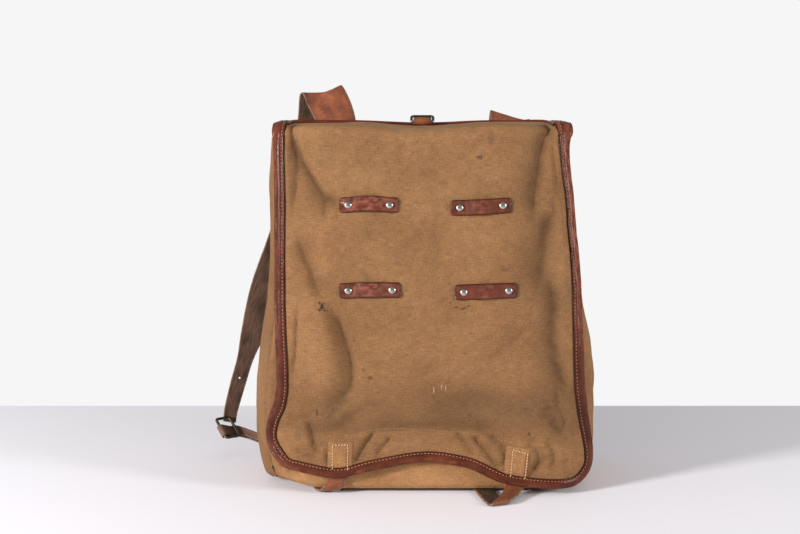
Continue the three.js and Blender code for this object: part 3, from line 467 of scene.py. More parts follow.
# Marks on the flap: place, half width, half height, strength and colour
flapMarks = [
    (-104, 194.5, 2.6, 4.4, 0.9, "#2a251e"), (-106.5, 191, 2.0, 1.8, 0.75, "#2a251e"),
    (-101, 190.5, 2.4, 1.7, 0.75, "#2a251e"), (-106.5, 198, 1.7, 1.9, 0.7, "#2a251e"),
    (-101.5, 197.5, 1.6, 1.6, 0.6, "#2a251e"), (-110, 86, 1.5, 4.6, 0.7, "#3a3026"),
    (-72, 160, 1.8, 1.2, 0.55, "#5a3018"), (-63, 130, 1.7, 2.4, 0.5, "#5a3318"),
    (-56, 122, 3.6, 2.6, 0.65, "#5a3014"), (105, 63, 2.6, 2.4, 0.6, "#33291e"),
    (45, 82, 2.0, 2.6, 0.45, "#4a3524"), (54, 342, 4.6, 2.8, 0.6, "#3d3428"),
    (65, 361, 4.5, 9.0, 0.32, "#463b2e"), (39, 193, 1.6, 1.8, 0.5, "#3f2d1f"),
    (79, 231, 5.5, 3.6, 0.36, "#4a3d2e"), (48, 98, 34, 13, 0.2, "#4f3b28"),
    (86, 88, 30, 10, 0.16, "#4f3b28"), (-52, 96, 16, 6, 0.2, "#4f3b28"),
    (-95, 120, 4.5, 3.5, 0.25, "#5a422c"), (-120, 148, 3.0, 4.0, 0.2, "#5a422c"),
    (24, 198, 2.6, 1.2, 0.5, "#3f2d1f"), (30, 193.6, 3.4, 1.0, 0.6, "#3f2d1f"),
    (37, 192.2, 3.6, 1.0, 0.7, "#3a281b"), (42.5, 194.6, 2.6, 1.1, 0.6, "#3f2d1f"),
    (8, 109, 0.8, 4.2, 0.6, "#c9a886"), (16, 112, 0.8, 3.2, 0.6, "#c9a886"),
    (20, 111, 0.8, 3.8, 0.55, "#c9a886"),
]
canvas = cottonCanvas("cotton_canvas", "#8f6844", "#7b5738", "#3a291b")
flapCanvas = cottonCanvas("cotton_canvas_flap", "#8f6844", "#7b5738", "#3a291b", flapMarks)
patchCanvas = cottonCanvas("cotton_canvas_patch", "#9f744d", "#8b623f", "#4a321f")
bindingLeather = grainLeather("binding_calf", "#6b3524", "#522719", "#96573d", "#1c0b07", 0.5, shine=0.05,
                              polish=0.16, cell=(9, 26))
keeperLeather = grainLeather("keeper_leather", "#6a3019", "#542617", "#8c5242", "#1c0b07", 0.4, shine=0.22,
                             polish=0.3, cell=(12, 12))
strapGrain = grainLeather("strap_leather_grain", "#96563a", "#713e29", "#a3735a", "#4c2c1f", 0.42)
closureGrain = grainLeather("closure_leather_grain", "#8f5030", "#70412c", "#6f5140", "#4f3022", 0.45)
lowerGrain = grainLeather("lower_strap_grain", "#785749", "#5f4237", "#957666", "#432d24", 0.5)
strapFlesh = fleshLeather("strap_leather_flesh", "#5f4536", "#35251c")
closureFlesh = fleshLeather("closure_leather_flesh", "#5e4632", "#3a2a1d")
strapEdge = cutLeather("strap_leather_edge", "#8d705a", "#5c4335")
rivetSteel = handledSteel("nickelled_steel", "#bdbab4", "#98948d", 0.2, 0.34)
wireSteel = handledSteel("tarnished_steel", "#6a665e", "#45423c", 0.34, 0.5)
paleThread = linenThread("linen_thread", "#c88f6c", "#a56c4c")
tanThread = linenThread("linen_thread_tan", "#e2c096", "#c79b6c")
hemThread = linenThread("linen_thread_soiled", "#a17a54", "#876443")
print("materials ready")


# The bag's body: outline at each height, with its four sides and the radii of its front and back corners
bagBody = {
    # height, left, right, front, back, front radius, back radius
    "sections": [
        (1.2, -161.5, 164, -68.5, 50, 52, 26),
        (7, -168.5, 171, -71.5, 55.5, 55, 29),
        (25, -173.5, 176, -72, 57, 56, 30),
        (58, -178, 179.5, -65.5, 58, 55, 30),
        (100, -177, 179.5, -66.5, 58.5, 55, 30),
        (146, -172.8, 174, -68, 58.5, 54, 30),
        (200, -165.5, 164.5, -64, 58.5, 50, 29),
        (260, -162, 156, -57.5, 58, 46, 28),
        (320, -161, 149.5, -49.5, 57.5, 42, 27),
        (370, -157, 146, -41, 57, 38, 26),
    ],
    "thickness": 1.6,
    "frontTop": 357,
    "gussetTop": 360,
    "backTop": 369.5,
    "cornerShare": 0.2,  # of a wall's width, at each end
    # rise of the base along the front and at the left front corner, and where each comes in
    "frontRise": 3.6,
    "cornerRise": 6,
    "frontRiseRun": (-30, -44),
    "cornerRiseAcross": (-95, -150),
    "cornerRiseDeep": (-5, -45),
    "riseFadeHeight": 45,
    # rows of the walls: close together up to the foot's top, and the row that gives a wall's width
    "footTop": 34,
    "footRows": 26,
    "wallRows": 116,
    "gaugeRow": 60,
    # wrinkles: their height, and the share, width and upward squeeze of each kind
    "wrinkles": 0.9,
    "wrinkleKinds": [(1, 46, 0.7), (0.5, 21, 1), (0.2, 9, 1)],
    "wrinkleFoot": (0, 24),
    "wrinkleSeam": (0, 10),
    "foldFoot": (0, 8),
    # the front behind the flap: flatter and pressed in, and paler away from its seams, partly cleaner cloth
    # and partly painted light
    "hiddenShare": 0.25,
    "hiddenFrom": (50, 80),
    "frontGive": 4,
    "giveFrom": (55, 85),
    "giveSeam": (1, 12),
    "litFromSeam": (0, 30),
    "seamRidge": 0.6,
    "ridgeWidth": 2.2,
    "seamDirt": 0.35,
    "seamDirtAt": 3.4,
    "seamDirtWidth": 1.2,
    # painted shade over the whole left gusset
    "gussetShade": 0.5,
    # the base: its inset from the walls, and the shallow dimples inside its edge
    "baseInset": 2.8,
    "dimple": 0.7,
    "dimpleCell": 34,
    "dimpleEdge": (0, 14),
    "baseMiddle": -9,
    "baseHalfDepth": 58,
}
wallSides = {"front": (225, "leftFront", "rightFront"), "right": (315, "rightFront", "rightBack"),
             "back": (45, "rightBack", "leftBack"), "left": (135, "leftBack", "leftFront")}


def sectionAt(z):
    names = ("left", "right", "front", "back", "frontRadius", "backRadius")
    return {name: readTable(bagBody["sections"], k + 1, z) for k, name in enumerate(names)}


# The base is raised along the front, and more at the left front corner
def restLift(x, y):
    front = smooth(*bagBody["frontRiseRun"], y)
    corner = smooth(*bagBody["cornerRiseAcross"], x) * smooth(*bagBody["cornerRiseDeep"], y)
    return bagBody["frontRise"] * front + bagBody["cornerRise"] * corner


def cornerOf(section, name):
    radius = section["frontRadius" if name.endswith("Front") else "backRadius"]
    x = section["left"] + radius if name.startswith("left") else section["right"] - radius
    y = section["front"] + radius if name.endswith("Front") else section["back"] - radius
    return x, y, radius


# Points of a wall's outer face: along runs from 0 to 1 between two corner seams
def wallPoint(side, along, z):
    section = sectionAt(z)
    start, first, second = wallSides[side]
    share = bagBody["cornerShare"]

    def onArc(name, degrees):
        x, y, radius = cornerOf(section, name)
        turn = np.radians(degrees)
        return np.stack([x + radius * np.cos(turn), y + radius * np.sin(turn)], -1)

    firstArc = onArc(first, start + 45 * np.clip(along / share, 0, 1))
    secondArc = onArc(second, start + 45 + 45 * np.clip((along - 1 + share) / share, 0, 1))
    t = np.clip((along - share) / (1 - 2 * share), 0, 1)[..., None]
    flat = mix(firstArc, secondArc, t)
    fade = np.maximum(0, 1 - z / bagBody["riseFadeHeight"])
    lift = restLift(flat[..., 0], flat[..., 1]) * fade
    return np.concatenate([flat, (z + lift)[..., None]], -1)


def gridNormals(points):
    return unit(np.cross(np.gradient(points, axis=1), np.gradient(points, axis=0)))


# A fold of cloth along a line. A depth above zero is a valley. Left and right are the widths of its flanks:
# a line that runs down has its left flank on the left, and one that runs to the right has it below. A low
# power gives a crisp crease, and ends is the share of the length over which the fold runs out.
# The last keyword scales the shade painted into the valley.
def fold(depth, left, right, *way, power=1.5, ends=0.28, dirt_and_shade=1):
    return {"depth": depth, "left": left, "right": right, "power": power, "ends": ends, "dirt_and_shade": dirt_and_shade,
            "way": way}


# A fold's reach in widths, the shade painted into wide and narrow valleys, and the depth at which that shade
# is full
foldShade = {"reach": 3, "wide": 0.6, "narrow": 3.2, "full": 14}


# Depth of all folds at places of a cloth, the shade painted into the valleys, and the paling of the ridges,
# which is partly fading and partly painted light
def foldField(folds, u, v):
    depth = np.zeros(np.shape(u))
    painted_shade = np.zeros(np.shape(u))
    fade_and_painted_light = np.zeros(np.shape(u))
    for line in folds:
        way = curveThrough(line["way"], 6)
        reach = foldShade["reach"] * max(line["left"], line["right"])
        near = ((u > way[:, 0].min() - reach) & (u < way[:, 0].max() + reach)
                & (v > way[:, 1].min() - reach) & (v < way[:, 1].max() + reach))
        if not near.any():
            continue
        spot = np.stack([u[near], v[near]], -1)
        nearest = np.full(len(spot), np.inf)
        side = np.zeros(len(spot))
        share = np.zeros(len(spot))
        for k in range(len(way) - 1):
            step = way[k + 1] - way[k]
            t = np.clip((spot - way[k]) @ step / (step @ step), 0, 1)
            away = spot - way[k] - t[:, None] * step
            distance = np.hypot(away[:, 0], away[:, 1])
            closer = distance < nearest
            nearest = np.where(closer, distance, nearest)
            side = np.where(closer, step[0] * away[:, 1] - step[1] * away[:, 0], side)
            share = np.where(closer, (k + t) / (len(way) - 1), share)
        width = np.where(side < 0, line["left"], line["right"])
        taper = smooth(0, line["ends"], share) * smooth(0, line["ends"], 1 - share)
        shape = np.exp(-(nearest / width) ** line["power"]) * taper
        depth[near] += line["depth"] * shape
        # Shade painted into the valley, more in deep and narrow ones
        narrow = foldShade["wide"] + foldShade["narrow"] / min(line["left"], line["right"])
        painted_shade[near] += line["dirt_and_shade"] * max(line["depth"], 0) * narrow / foldShade["full"] * shape
        # Ridges are paled: partly fading, partly painted light
        fade_and_painted_light[near] += max(-line["depth"], 0) / foldShade["full"] * shape
    return depth, np.clip(painted_shade, 0, 1), np.clip(fade_and_painted_light, 0, 1)


# Folds of each wall: distance from the wall's first seam, then height
wallFolds = {
    "front": [
        fold(3.2, 4, 3, (8, 60), (11, 38), (12, 24), (11, 12)),
        fold(-3.0, 5, 4, (4, 30), (9, 21), (14, 17), (20, 17)),
        fold(3.4, 3, 4, (15, 30), (20, 22), (27, 18), (34, 16)),
        fold(1.8, 12, 12, (40, 34), (90, 24), (150, 27)),
        fold(1.4, 10, 8, (250, 26), (290, 22), (330, 26)),
    ],
    "right": [
        fold(2.2, 14, 10, (30, 300), (42, 220), (36, 150)),
        fold(2.0, 10, 12, (70, 330), (60, 240), (74, 160), (66, 90)),
        fold(1.8, 8, 10, (20, 120), (40, 84), (44, 48)),
        fold(1.5, 10, 10, (100, 200), (92, 120), (104, 60)),
    ],
    "left": [
        fold(2.0, 12, 10, (60, 310), (70, 220), (62, 140)),
        fold(2.0, 10, 8, (104, 250), (112, 190), (108, 120)),
        fold(2.2, 5, 9, (124, 96), (127, 60), (130, 30)),
        fold(1.6, 12, 10, (34, 260), (26, 180), (34, 100)),
        fold(3.6, 3, 4, (100, 34), (108, 26), (117, 21), (126, 19), power=1.2),
        fold(-2.6, 5, 3, (104, 22), (112, 16), (122, 13)),
    ],
    "back": [
        fold(1.8, 16, 14, (80, 330), (90, 220), (76, 110)),
        fold(1.8, 14, 16, (230, 320), (220, 200), (238, 90)),
        fold(1.4, 20, 18, (60, 60), (160, 44), (260, 62)),
    ],
}


def wallSheet(side, columns, top, seed):
    bottom = bagBody["sections"][0][0]
    foot = np.linspace(bottom, bagBody["footTop"], bagBody["footRows"])
    heights = np.concatenate([foot, np.linspace(bagBody["footTop"] + 2, top, bagBody["wallRows"])])
    along, z = np.meshgrid(np.linspace(0, 1, columns), heights)
    base = wallPoint(side, along, z)
    normals = gridNormals(base)
    across = lengthsAlong(base[bagBody["gaugeRow"]])
    s = np.broadcast_to(across, along.shape)
    toSeam = np.minimum(s, across[-1] - s)
    depth, painted_shade, fade_and_painted_light = foldField(wallFolds[side], s, z)
    amount = bagBody["wrinkles"] * smooth(*bagBody["wrinkleFoot"], z)
    amount = amount * smooth(*bagBody["wrinkleSeam"], toSeam)
    if side == "front":
        amount = amount * mix(1, bagBody["hiddenShare"], smooth(*bagBody["hiddenFrom"], z))
        give = smooth(*bagBody["giveFrom"], z) * smooth(*bagBody["giveSeam"], toSeam)
        depth = depth + bagBody["frontGive"] * give
        # Painted light: the front is made paler away from its seams, where it shows below the flap's hem;
        # partly cleaner cloth
        fade_and_painted_light = np.maximum(smooth(*bagBody["litFromSeam"], toSeam), fade_and_painted_light)
    soft = sum(share * unevenness(s, z * squeeze, width, seed + k)
               for k, (share, width, squeeze) in enumerate(bagBody["wrinkleKinds"]))
    ridge = bagBody["seamRidge"] * np.exp(-(toSeam / bagBody["ridgeWidth"]) ** 2)
    rise = amount * soft + ridge - depth * smooth(*bagBody["foldFoot"], z)
    outer = base + normals * rise[..., None]
    outer[..., 2] = np.maximum(outer[..., 2], bottom)
    # Painted shade in the folds' valleys, and dark dirt beside the seams
    fromDirt = (toSeam - bagBody["seamDirtAt"]) / bagBody["seamDirtWidth"]
    dirt_and_shade = painted_shade + bagBody["seamDirt"] * np.exp(-fromDirt ** 2)
    # Painted shade over the whole left gusset
    if side == "left":
        dirt_and_shade = dirt_and_shade + bagBody["gussetShade"]
    return clothSheet(outer, normals, bagBody["thickness"], np.stack([s, z], -1), clean=fade_and_painted_light,
                      fold=np.clip(dirt_and_shade, 0, 1))


# node, side, columns, top, seed, then the flat size and the cut area in metres
walls = [("front_panel", "front", 96, bagBody["frontTop"], 11, (0.355, 0.36), 0.111),
         ("side_gusset_right", "right", 52, bagBody["gussetTop"], 21, (0.135, 0.362), 0.038),
         ("back_panel", "back", 80, bagBody["backTop"], 31, (0.335, 0.37), 0.12),
         ("side_gusset_left", "left", 52, bagBody["gussetTop"], 41, (0.135, 0.362), 0.038)]
for name, side, columns, top, seed, flat, area in walls:
    wall = addPiece(name + "_cloth", [wallSheet(side, columns, top, seed)], name, [canvas])


def baseSheet(columns, rows):
    section = {key: float(value) for key, value in sectionAt(bagBody["sections"][0][0]).items()}
    inset = bagBody["baseInset"]
    u, v = np.meshgrid(np.linspace(0, 1, columns), (1 - np.cos(np.linspace(0, math.pi, rows))) / 2)
    y = mix(section["back"] - inset, section["front"] + inset, v)

    def sideAt(name, sign):
        corners = [cornerOf(section, name + end) for end in ("Front", "Back")]
        x, cornerY, radius = [np.where(y < 0, front, back) for front, back in zip(*corners)]
        past = np.maximum(0, np.where(y < 0, cornerY - y, y - cornerY))
        return x + sign * np.sqrt(np.maximum(0, (radius - inset) ** 2 - past ** 2))

    x = mix(sideAt("left", -1), sideAt("right", 1), u)
    toEdge = bagBody["baseHalfDepth"] - np.abs(y - bagBody["baseMiddle"])
    dimple = bagBody["dimple"] * (1 + unevenness(x, y, bagBody["dimpleCell"], 51))
    outer = np.stack([x, y, restLift(x, y) + dimple * smooth(*bagBody["dimpleEdge"], toEdge)], -1)
    down = np.broadcast_to([0.0, 0.0, -1.0], outer.shape)
    return clothSheet(outer, down, bagBody["thickness"], np.stack([x, y], -1))


base = addPiece("base_panel_cloth", [baseSheet(90, 40)], "base_panel", [canvas])
print("bag body ready")


# The flap: side edges and hem of its canvas, its soft unevenness, its soil and painted shade above the hem,
# the painted light over its top bend, and its folds
flap = {
    # height, left edge, right edge
    "edges": [(0, -160, 170.8), (40, -160.4, 170.4), (62, -160.8, 167.6), (78, -157.5, 164),
              (96, -150.8, 161.3), (115, -148.6, 159), (209, -150, 155.3), (299, -149.8, 147.6),
              (350, -150.7, 143.2), (370, -150.8, 143.8)],
    # place along the width, height of the hem
    "hem": [(-131, 29.4), (-90, 22.4), (-50, 31), (3, 38.6), (40, 33.6), (81, 16.4), (110, 12), (140, 9.8)],
    "hemCornerLeft": 30,
    "hemCornerRight": 25,
    "standOff": 9,
    "bendStart": 362,
    "bendRadius": 12,
    "backEdge": 51.5,
    "sag": 4.2,
    "sagMiddle": -2,
    "sagHalfWidth": 75,
    "thickness": 1.6,
    "cornerColumns": 4,
    "middleColumns": 18,
    "frontRows": 21,
    "bendRows": 3,
    "topRows": 3,
    # points of the sheet across, then up its front, over the bend and along the top
    "sheetColumns": 200,
    "sheetRows": (176, 14, 24),
    "deepest": 9,
    # share and width of the soft humps all over, and how much of them the binding leaves
    "humps": [(1.0, 58), (0.65, 27), (0.2, 11), (0.06, 6)],
    "heldHumps": 0.5,
    # darkening above the hem, partly soil and partly painted shade in the recess: where it comes in and ends,
    # and how uneven it is
    "soilAndShade": 0.5,
    "soilShadeFoot": (58, 74),
    "soilShadeTop": (128, 92),
    "soilShadeVariation": 0.5,
    "soilShadeCell": 30,
    # painted light over the top bend, and the heights over which it comes in
    "bendLight": 0.5,
    "bendLightRun": (357, 377),
    # widths along the sides and the hem that the binding holds flat, and the run to where folds are free
    "heldSide": 8,
    "heldHem": 5,
    "freeRun": 7,
    "hemSeam": [(-80, 61), (-46, 68), (-22, 68.5), (15, 66), (47, 64), (69, 58), (84, 55), (101, 52.4),
                (124, 50), (156, 45)],
    "hemStitchLift": 0.1,
    "hemStitchPitch": 3.4,
    "hemStitchLength": 2.2,
    "hemStitchRadius": 0.34,
    "folds": [
        # gathers at the top left corner
        fold(6.6, 4, 7, (-137, 425), (-136, 385), (-135, 372), (-133.5, 357), (-131, 345), (-130.5, 326),
             (-132, 311), (-134, 294), (-135, 270), power=1.15),
        fold(8.5, 9, 3, (-141, 374), (-133, 357), (-126, 344), (-117, 330), (-108, 315), (-100, 304),
             (-88, 299), (-74, 296), power=1.1),
        fold(1.3, 2, 4, (-101, 306), (-101, 294), (-102, 278)),
        # long folds of the left side, and the lobe below them with its steep right flank
        fold(-8.0, 14, 22, (-106, 300), (-102, 250), (-96, 210)),
        fold(6.0, 5, 15, (-131, 270), (-126, 255), (-121, 242), (-115, 229), (-108, 211), (-98, 196),
             power=1.2),
        fold(-6.0, 20, 16, (-116, 218), (-105, 180), (-98, 140), (-104, 88), power=2),
        fold(7.6, 13, 4, (-104, 206), (-96, 193), (-87, 179), (-81, 162), (-76, 146), (-73.5, 129),
             (-75, 113), (-82, 100), (-92, 86), (-105, 75), power=1.2),
        fold(3.2, 3, 5, (-127, 206), (-129, 185), (-130, 170), (-131, 152), (-133, 135), (-138, 116),
             power=1.2),
        fold(3.6, 2, 4.5, (-121, 80), (-118, 71), (-115, 60), (-113, 51), (-109, 40), power=1.2),
        fold(2.8, 9, 7, (-124, 63), (-117, 64), (-107, 64), (-95, 66), (-76, 79), (-60, 89), (-44, 95)),
        fold(4.6, 2.4, 3.6, (-50, 68), (-58, 57), (-66, 45), (-73, 32), power=1.15, ends=0.15),
        fold(3.4, 2.4, 3.2, (-35, 60), (-43, 50), (-51, 41), power=1.15, ends=0.15),
        fold(2.8, 2.2, 3, (-101, 50), (-100, 41), (-99, 30), power=1.15),
        fold(2.4, 2.2, 3, (-133, 50), (-126, 45), (-117, 41), (-108, 38), power=1.15),
        fold(1.6, 2, 3, (-142, 84), (-132, 80), (-121, 80), (-108, 84), power=1.15),
        # gathers at the top right corner
        fold(10.0, 11, 4, (127, 425), (125, 385), (124.5, 372), (122, 364), (119, 354), (115, 337),
             (112, 319), (109, 301), (108, 287), (107, 270), power=1.1, dirt_and_shade=1.6),
        fold(2.4, 3, 2.5, (126, 440), (125, 395), (124.5, 375), (122.5, 364), (119.5, 352), (116, 338),
             (113, 322)),
        fold(1.5, 2.5, 5, (128, 370), (129, 354), (130, 337), (131, 319), (132, 302)),
        fold(1.6, 3, 3, (126, 306), (129, 294), (130, 284), (127, 272)),
        # folds of the right side
        fold(9.0, 14, 4.5, (129, 292), (126, 281), (124, 272), (120.5, 255), (117.5, 236), (114.5, 222),
             (111, 205), power=1.2, dirt_and_shade=1.6),
        fold(9.0, 14, 4.5, (118, 240), (126, 215), (132, 200), (130, 170), (134, 139), (140, 118),
             (143, 100), power=1.2, dirt_and_shade=1.6),
        fold(-2.6, 7, 6, (140, 312), (138, 270), (139, 235), (142, 200)),
        fold(3.0, 4, 3, (131, 116), (133, 108), (133, 97), (138, 83), (142, 74), (140, 65), (146, 55),
             (150, 49), power=1.1),
        fold(3.8, 6, 2.4, (122, 100), (125, 89), (130, 78), (135, 68), (142, 56), power=1.15, dirt_and_shade=1.5),
        # recess above the doubled hem, the hem's edge, and puckers about the right patch
        fold(3.0, 2.2, 12, (-92, 61), (-75, 64), (-26, 70), (4, 69), (32, 68), (43, 68), (59, 65), (66, 60),
             (74, 55), power=1.1),
        fold(-2.2, 6, 2, (-84, 60), (-75, 61), (-26, 66), (4, 65), (32, 64), (43, 64), (59, 61), (66, 55),
             (74, 50), power=1.1),
        fold(2.6, 2.5, 10, (76, 61), (96, 57), (109, 56), (125, 55), (142, 52), (162, 45), power=1.1),
        fold(-1.2, 3, 2, (76, 57), (96, 53), (109, 52), (125, 51), (142, 48), (162, 40), power=1.1),
        fold(3.4, 14, 17, (-10, 79), (14, 82), (43, 95), (70, 102), (105, 97), (125, 88), power=2),
        fold(3.4, 2.2, 3.2, (30, 66), (36, 58), (43, 50), (50, 42), power=1.15, ends=0.15),
        fold(4.6, 2.4, 4, (46, 62), (55, 52), (63, 43), (70, 33), (76, 25), power=1.15, ends=0.15),
        fold(-1.6, 4, 4, (56, 60), (64, 51), (71, 42), (77, 34), power=1.15, ends=0.15),
        fold(3.6, 2.6, 3.4, (64, 62), (72, 56), (79, 48), (80, 38), (77, 28), power=1.15, ends=0.15),
        fold(3.8, 2.6, 4.4, (102, 53), (110, 49), (115, 42), (113, 34), (106, 26), power=1.15, ends=0.12),
        fold(-1.8, 4, 4, (112, 58), (121, 52), (124, 44), (122, 34), power=1.15, ends=0.15),
        fold(3.8, 2.4, 4, (120, 54), (128, 48), (131, 40), (128, 31), power=1.15, ends=0.15),
        fold(4.0, 2.4, 3.4, (103, 18), (109, 25), (115, 33), (122, 39), (133, 42), power=1.15, ends=0.15),
        fold(2.4, 4, 4, (124, 30), (136, 33), (148, 33), power=1.15, ends=0.15),
        # faint lines of the flap's middle
        fold(-0.7, 1.6, 1.6, (-100, 280), (-26, 282), (54, 281), (122, 283)),
        fold(2.0, 4, 5, (60, 134), (69, 142), (79, 150), (89, 159), (98, 168), (106, 175)),
        fold(0.8, 5, 6, (-4, 128), (8, 130), (22, 130)),
        fold(1.8, 9, 6, (6, 284), (10, 265), (14, 250), (10, 236), (12, 214)),
    ],
}
flapColumns = 2 * flap["cornerColumns"] + flap["middleColumns"]
flapRows = flap["frontRows"] + flap["bendRows"] + flap["topRows"]


# Quarter turn of a rounded hem corner, at steps from the flap's side
def hemTurn(steps):
    return math.pi / 2 * np.clip(steps / flap["cornerColumns"], 0, 1)


def flapColumnX(i, z):
    left = readTable(flap["edges"], 1, z) + flap["hemCornerLeft"] * (1 - np.cos(hemTurn(i)))
    right = readTable(flap["edges"], 2, z) - flap["hemCornerRight"] * (1 - np.cos(hemTurn(flapColumns - i)))
    return mix(left, right, np.clip((i - flap["cornerColumns"]) / flap["middleColumns"], 0, 1))


def flapHemHeight(i):
    hem = readTable(flap["hem"], 1, flapColumnX(i, 0))
    leftRise = flap["hemCornerLeft"] * (1 - np.sin(hemTurn(i)))
    rightRise = flap["hemCornerRight"] * (1 - np.sin(hemTurn(flapColumns - i)))
    return hem + leftRise + rightRise


def sagAt(x):
    away = np.minimum(1, np.abs(x - flap["sagMiddle"]) / flap["sagHalfWidth"])
    return flap["sag"] * (1 - away ** 2) ** 2


# Depth of the flap's front without its folds: it wraps the bag's front at an even distance
def flapFront(x, z):
    section = sectionAt(z)
    radius = section["frontRadius"] + flap["standOff"]
    past = np.maximum(0, np.maximum(section["left"] + section["frontRadius"] - x,
                                    x - section["right"] + section["frontRadius"]))
    return section["front"] - flap["standOff"] + radius - np.sqrt(radius ** 2 - past ** 2)


def flapFrontNormal(x, z):
    slopeX = (flapFront(x + 1, z) - flapFront(x - 1, z)) / 2
    slopeZ = (flapFront(x, z + 1) - flapFront(x, z - 1)) / 2
    return unit(np.stack([slopeX, -np.ones(np.shape(slopeX)), slopeZ], -1))


# How far the canvas lies behind its smooth shape, its dirt and painted shade, and its fading and painted
# light, at a place across and a height measured over the bend
def flapDepth(x, height):
    depth, painted_shade, fade_and_painted_light = foldField(flap["folds"], x, height)
    depth = flap["deepest"] * np.tanh(depth / flap["deepest"])
    inX = np.minimum(x - readTable(flap["edges"], 1, height), readTable(flap["edges"], 2, height) - x)
    inZ = height - readTable(flap["hem"], 1, x)
    free = smooth(0, flap["freeRun"], np.minimum(inX - flap["heldSide"], inZ - flap["heldHem"]))
    humps = sum(share * unevenness(x, height, width, 61 + k)
                for k, (share, width) in enumerate(flap["humps"]))
    # Darkening above the hem: partly soil, partly painted shade in the recess
    soilAndShade = flap["soilAndShade"] * smooth(*flap["soilShadeFoot"], height) * smooth(*flap["soilShadeTop"], height)
    soilAndShade = soilAndShade * (1 + flap["soilShadeVariation"] * unevenness(x, height, flap["soilShadeCell"], 65))
    # Paled ridges, partly fading and partly painted light, and painted light over the top bend
    fade_and_painted_light = np.clip(fade_and_painted_light * free + flap["bendLight"] * smooth(*flap["bendLightRun"], height), 0, 1)
    return depth * free + humps * mix(flap["heldHumps"], 1, free), np.clip(painted_shade * free + soilAndShade, 0, 1), fade_and_painted_light


# Points, normals, height over the bend, dirt and painted shade, and fading and painted light of the flap
# at places of its cutting grid
def flapAt(i, j):
    share = np.clip(j / flap["frontRows"], 0, 1)
    z = mix(flapHemHeight(i), flap["bendStart"], share)
    x = flapColumnX(i, z)
    sag = sagAt(x) * share ** 6
    bent = np.clip((j - flap["frontRows"]) / flap["bendRows"], 0, 1)
    run = np.clip((j - flap["frontRows"] - flap["bendRows"]) / flap["topRows"], 0, 1)
    turn = math.pi / 2 * bent
    radius = flap["bendRadius"]
    front = flapFront(x, z - sag)
    topLength = flap["backEdge"] - front - radius
    y = front + radius * (1 - np.cos(turn)) + topLength * run
    points = np.stack([x, y, z - sag + radius * np.sin(turn)], -1)
    frontNormal = flapFrontNormal(x, z)
    bentNormal = np.stack([frontNormal[..., 0] * (1 - bent), -np.cos(turn), np.sin(turn)], -1)
    normals = unit(np.where(bent[..., None] > 0, bentNormal, frontNormal))
    height = z - sag + radius * turn + topLength * run
    depth, painted_shade, fade_and_painted_light = flapDepth(x, height)
    return points - normals * depth[..., None], normals, height, painted_shade, fade_and_painted_light


def onFlap(x, z, lift=0):
    normal = flapFrontNormal(x, z)
    depth = flapDepth(x, z)[0]
    return np.stack([x, flapFront(x, z), z], -1) + normal * np.asarray(lift - depth)[..., None], normal


# The row of stitches that holds the doubled hem
def hemStitches():
    line = curveThrough(flap["hemSeam"], 24)
    row, normal = onFlap(line[:, 0], line[:, 1], flap["hemStitchLift"])
    return stitchRow(row, normal, flap["hemStitchPitch"], flap["hemStitchLength"],
                     flap["hemStitchRadius"], 66)


def flapSheet():
    frontRows, bendRows, topRows = flap["sheetRows"]
    bend = flap["frontRows"]
    top = bend + flap["bendRows"]
    rows = np.concatenate([np.linspace(0, bend, frontRows), np.linspace(bend + 0.2, top, bendRows),
                           np.linspace(top + 0.1, flapRows, topRows)])
    i, j = np.meshgrid(np.linspace(0, flapColumns, flap["sheetColumns"]), rows)
    outer, normals, height, painted_shade, fade_and_painted_light = flapAt(i, j)
    cut = np.stack([outer[..., 0], height], -1)
    return clothSheet(outer, normals, flap["thickness"], cut, fold=painted_shade, clean=fade_and_painted_light)


flapCloth = addPiece("flap_cloth", [flapSheet(), hemStitches()], "flap", [flapCanvas, hemThread])
print("flap ready")


# The leather folded over the flap's free edge: a rolled bead outside it, a flange on each face and a row of
# stitches
binding = {
    "flange": 10.4,
    "beadRadius": 2.9,
    "beadMiddle": (0.5, -0.8),
    "beadTurn": (112, -125),
    "beadPoints": 17,
    "stitchInset": 7.4,
    "stitchLift": 1.2,
    "stitchPitch": 3.6,
    "stitchLength": 2.1,
    "stitchRadius": 0.42,
    "hemNarrow": 0.28,
    # height, and how dark the left and the right side are there with handling
    "grease": [(0, 0.2, 0.13), (40, 0.28, 0.28), (65, 0.54, 0.58), (100, 0.46, 0.32), (150, 0.42, 0.16),
               (200, 0.38, 0), (300, 0.42, 0), (350, 0.1, 0), (376, 0.05, 0)],
    # how far the roll swells where it turns over the top, and the height and half length of the swelling
    "shoulders": {"left": (1.8, 368, 9), "right": (3.6, 368, 10)},
    # how much wider the flange gets towards the top corners, and from which height to which
    "gathers": {"left": (0.12, 340, 374), "right": (0.35, 335, 374)},
    # points along each side and the hem, the distance between sections, and how far in the canvas is followed
    "sideSteps": 260,
    "hemSteps": 240,
    "step": 2.0,
    "followed": 22,
    # where the flange passes into the roll, what counts as its back, and how level the hem has to run
    "rollFrom": (-4, 0.5),
    "rollBack": -2.5,
    "hemLevel": (0.55, 0.95),
    # unevenness of the roll and of the surface: amount and length
    "swell": (0.06, 17),
    "surface": (0.14, 8),
    # rubbing of the roll's front and back, its length, and the upper right, which has lost its polish
    "rubbed": (0.7, 0.2),
    "rubbedLength": 40,
    "dulled": 0.6,
    "dulledHeights": (130, 260),
    # darkness and width of the shade painted along the stitches' groove and at the flange's inner rim
    "painted_shade": (0.6, 0.9),
    "rim": (0.9, 0.6),
}


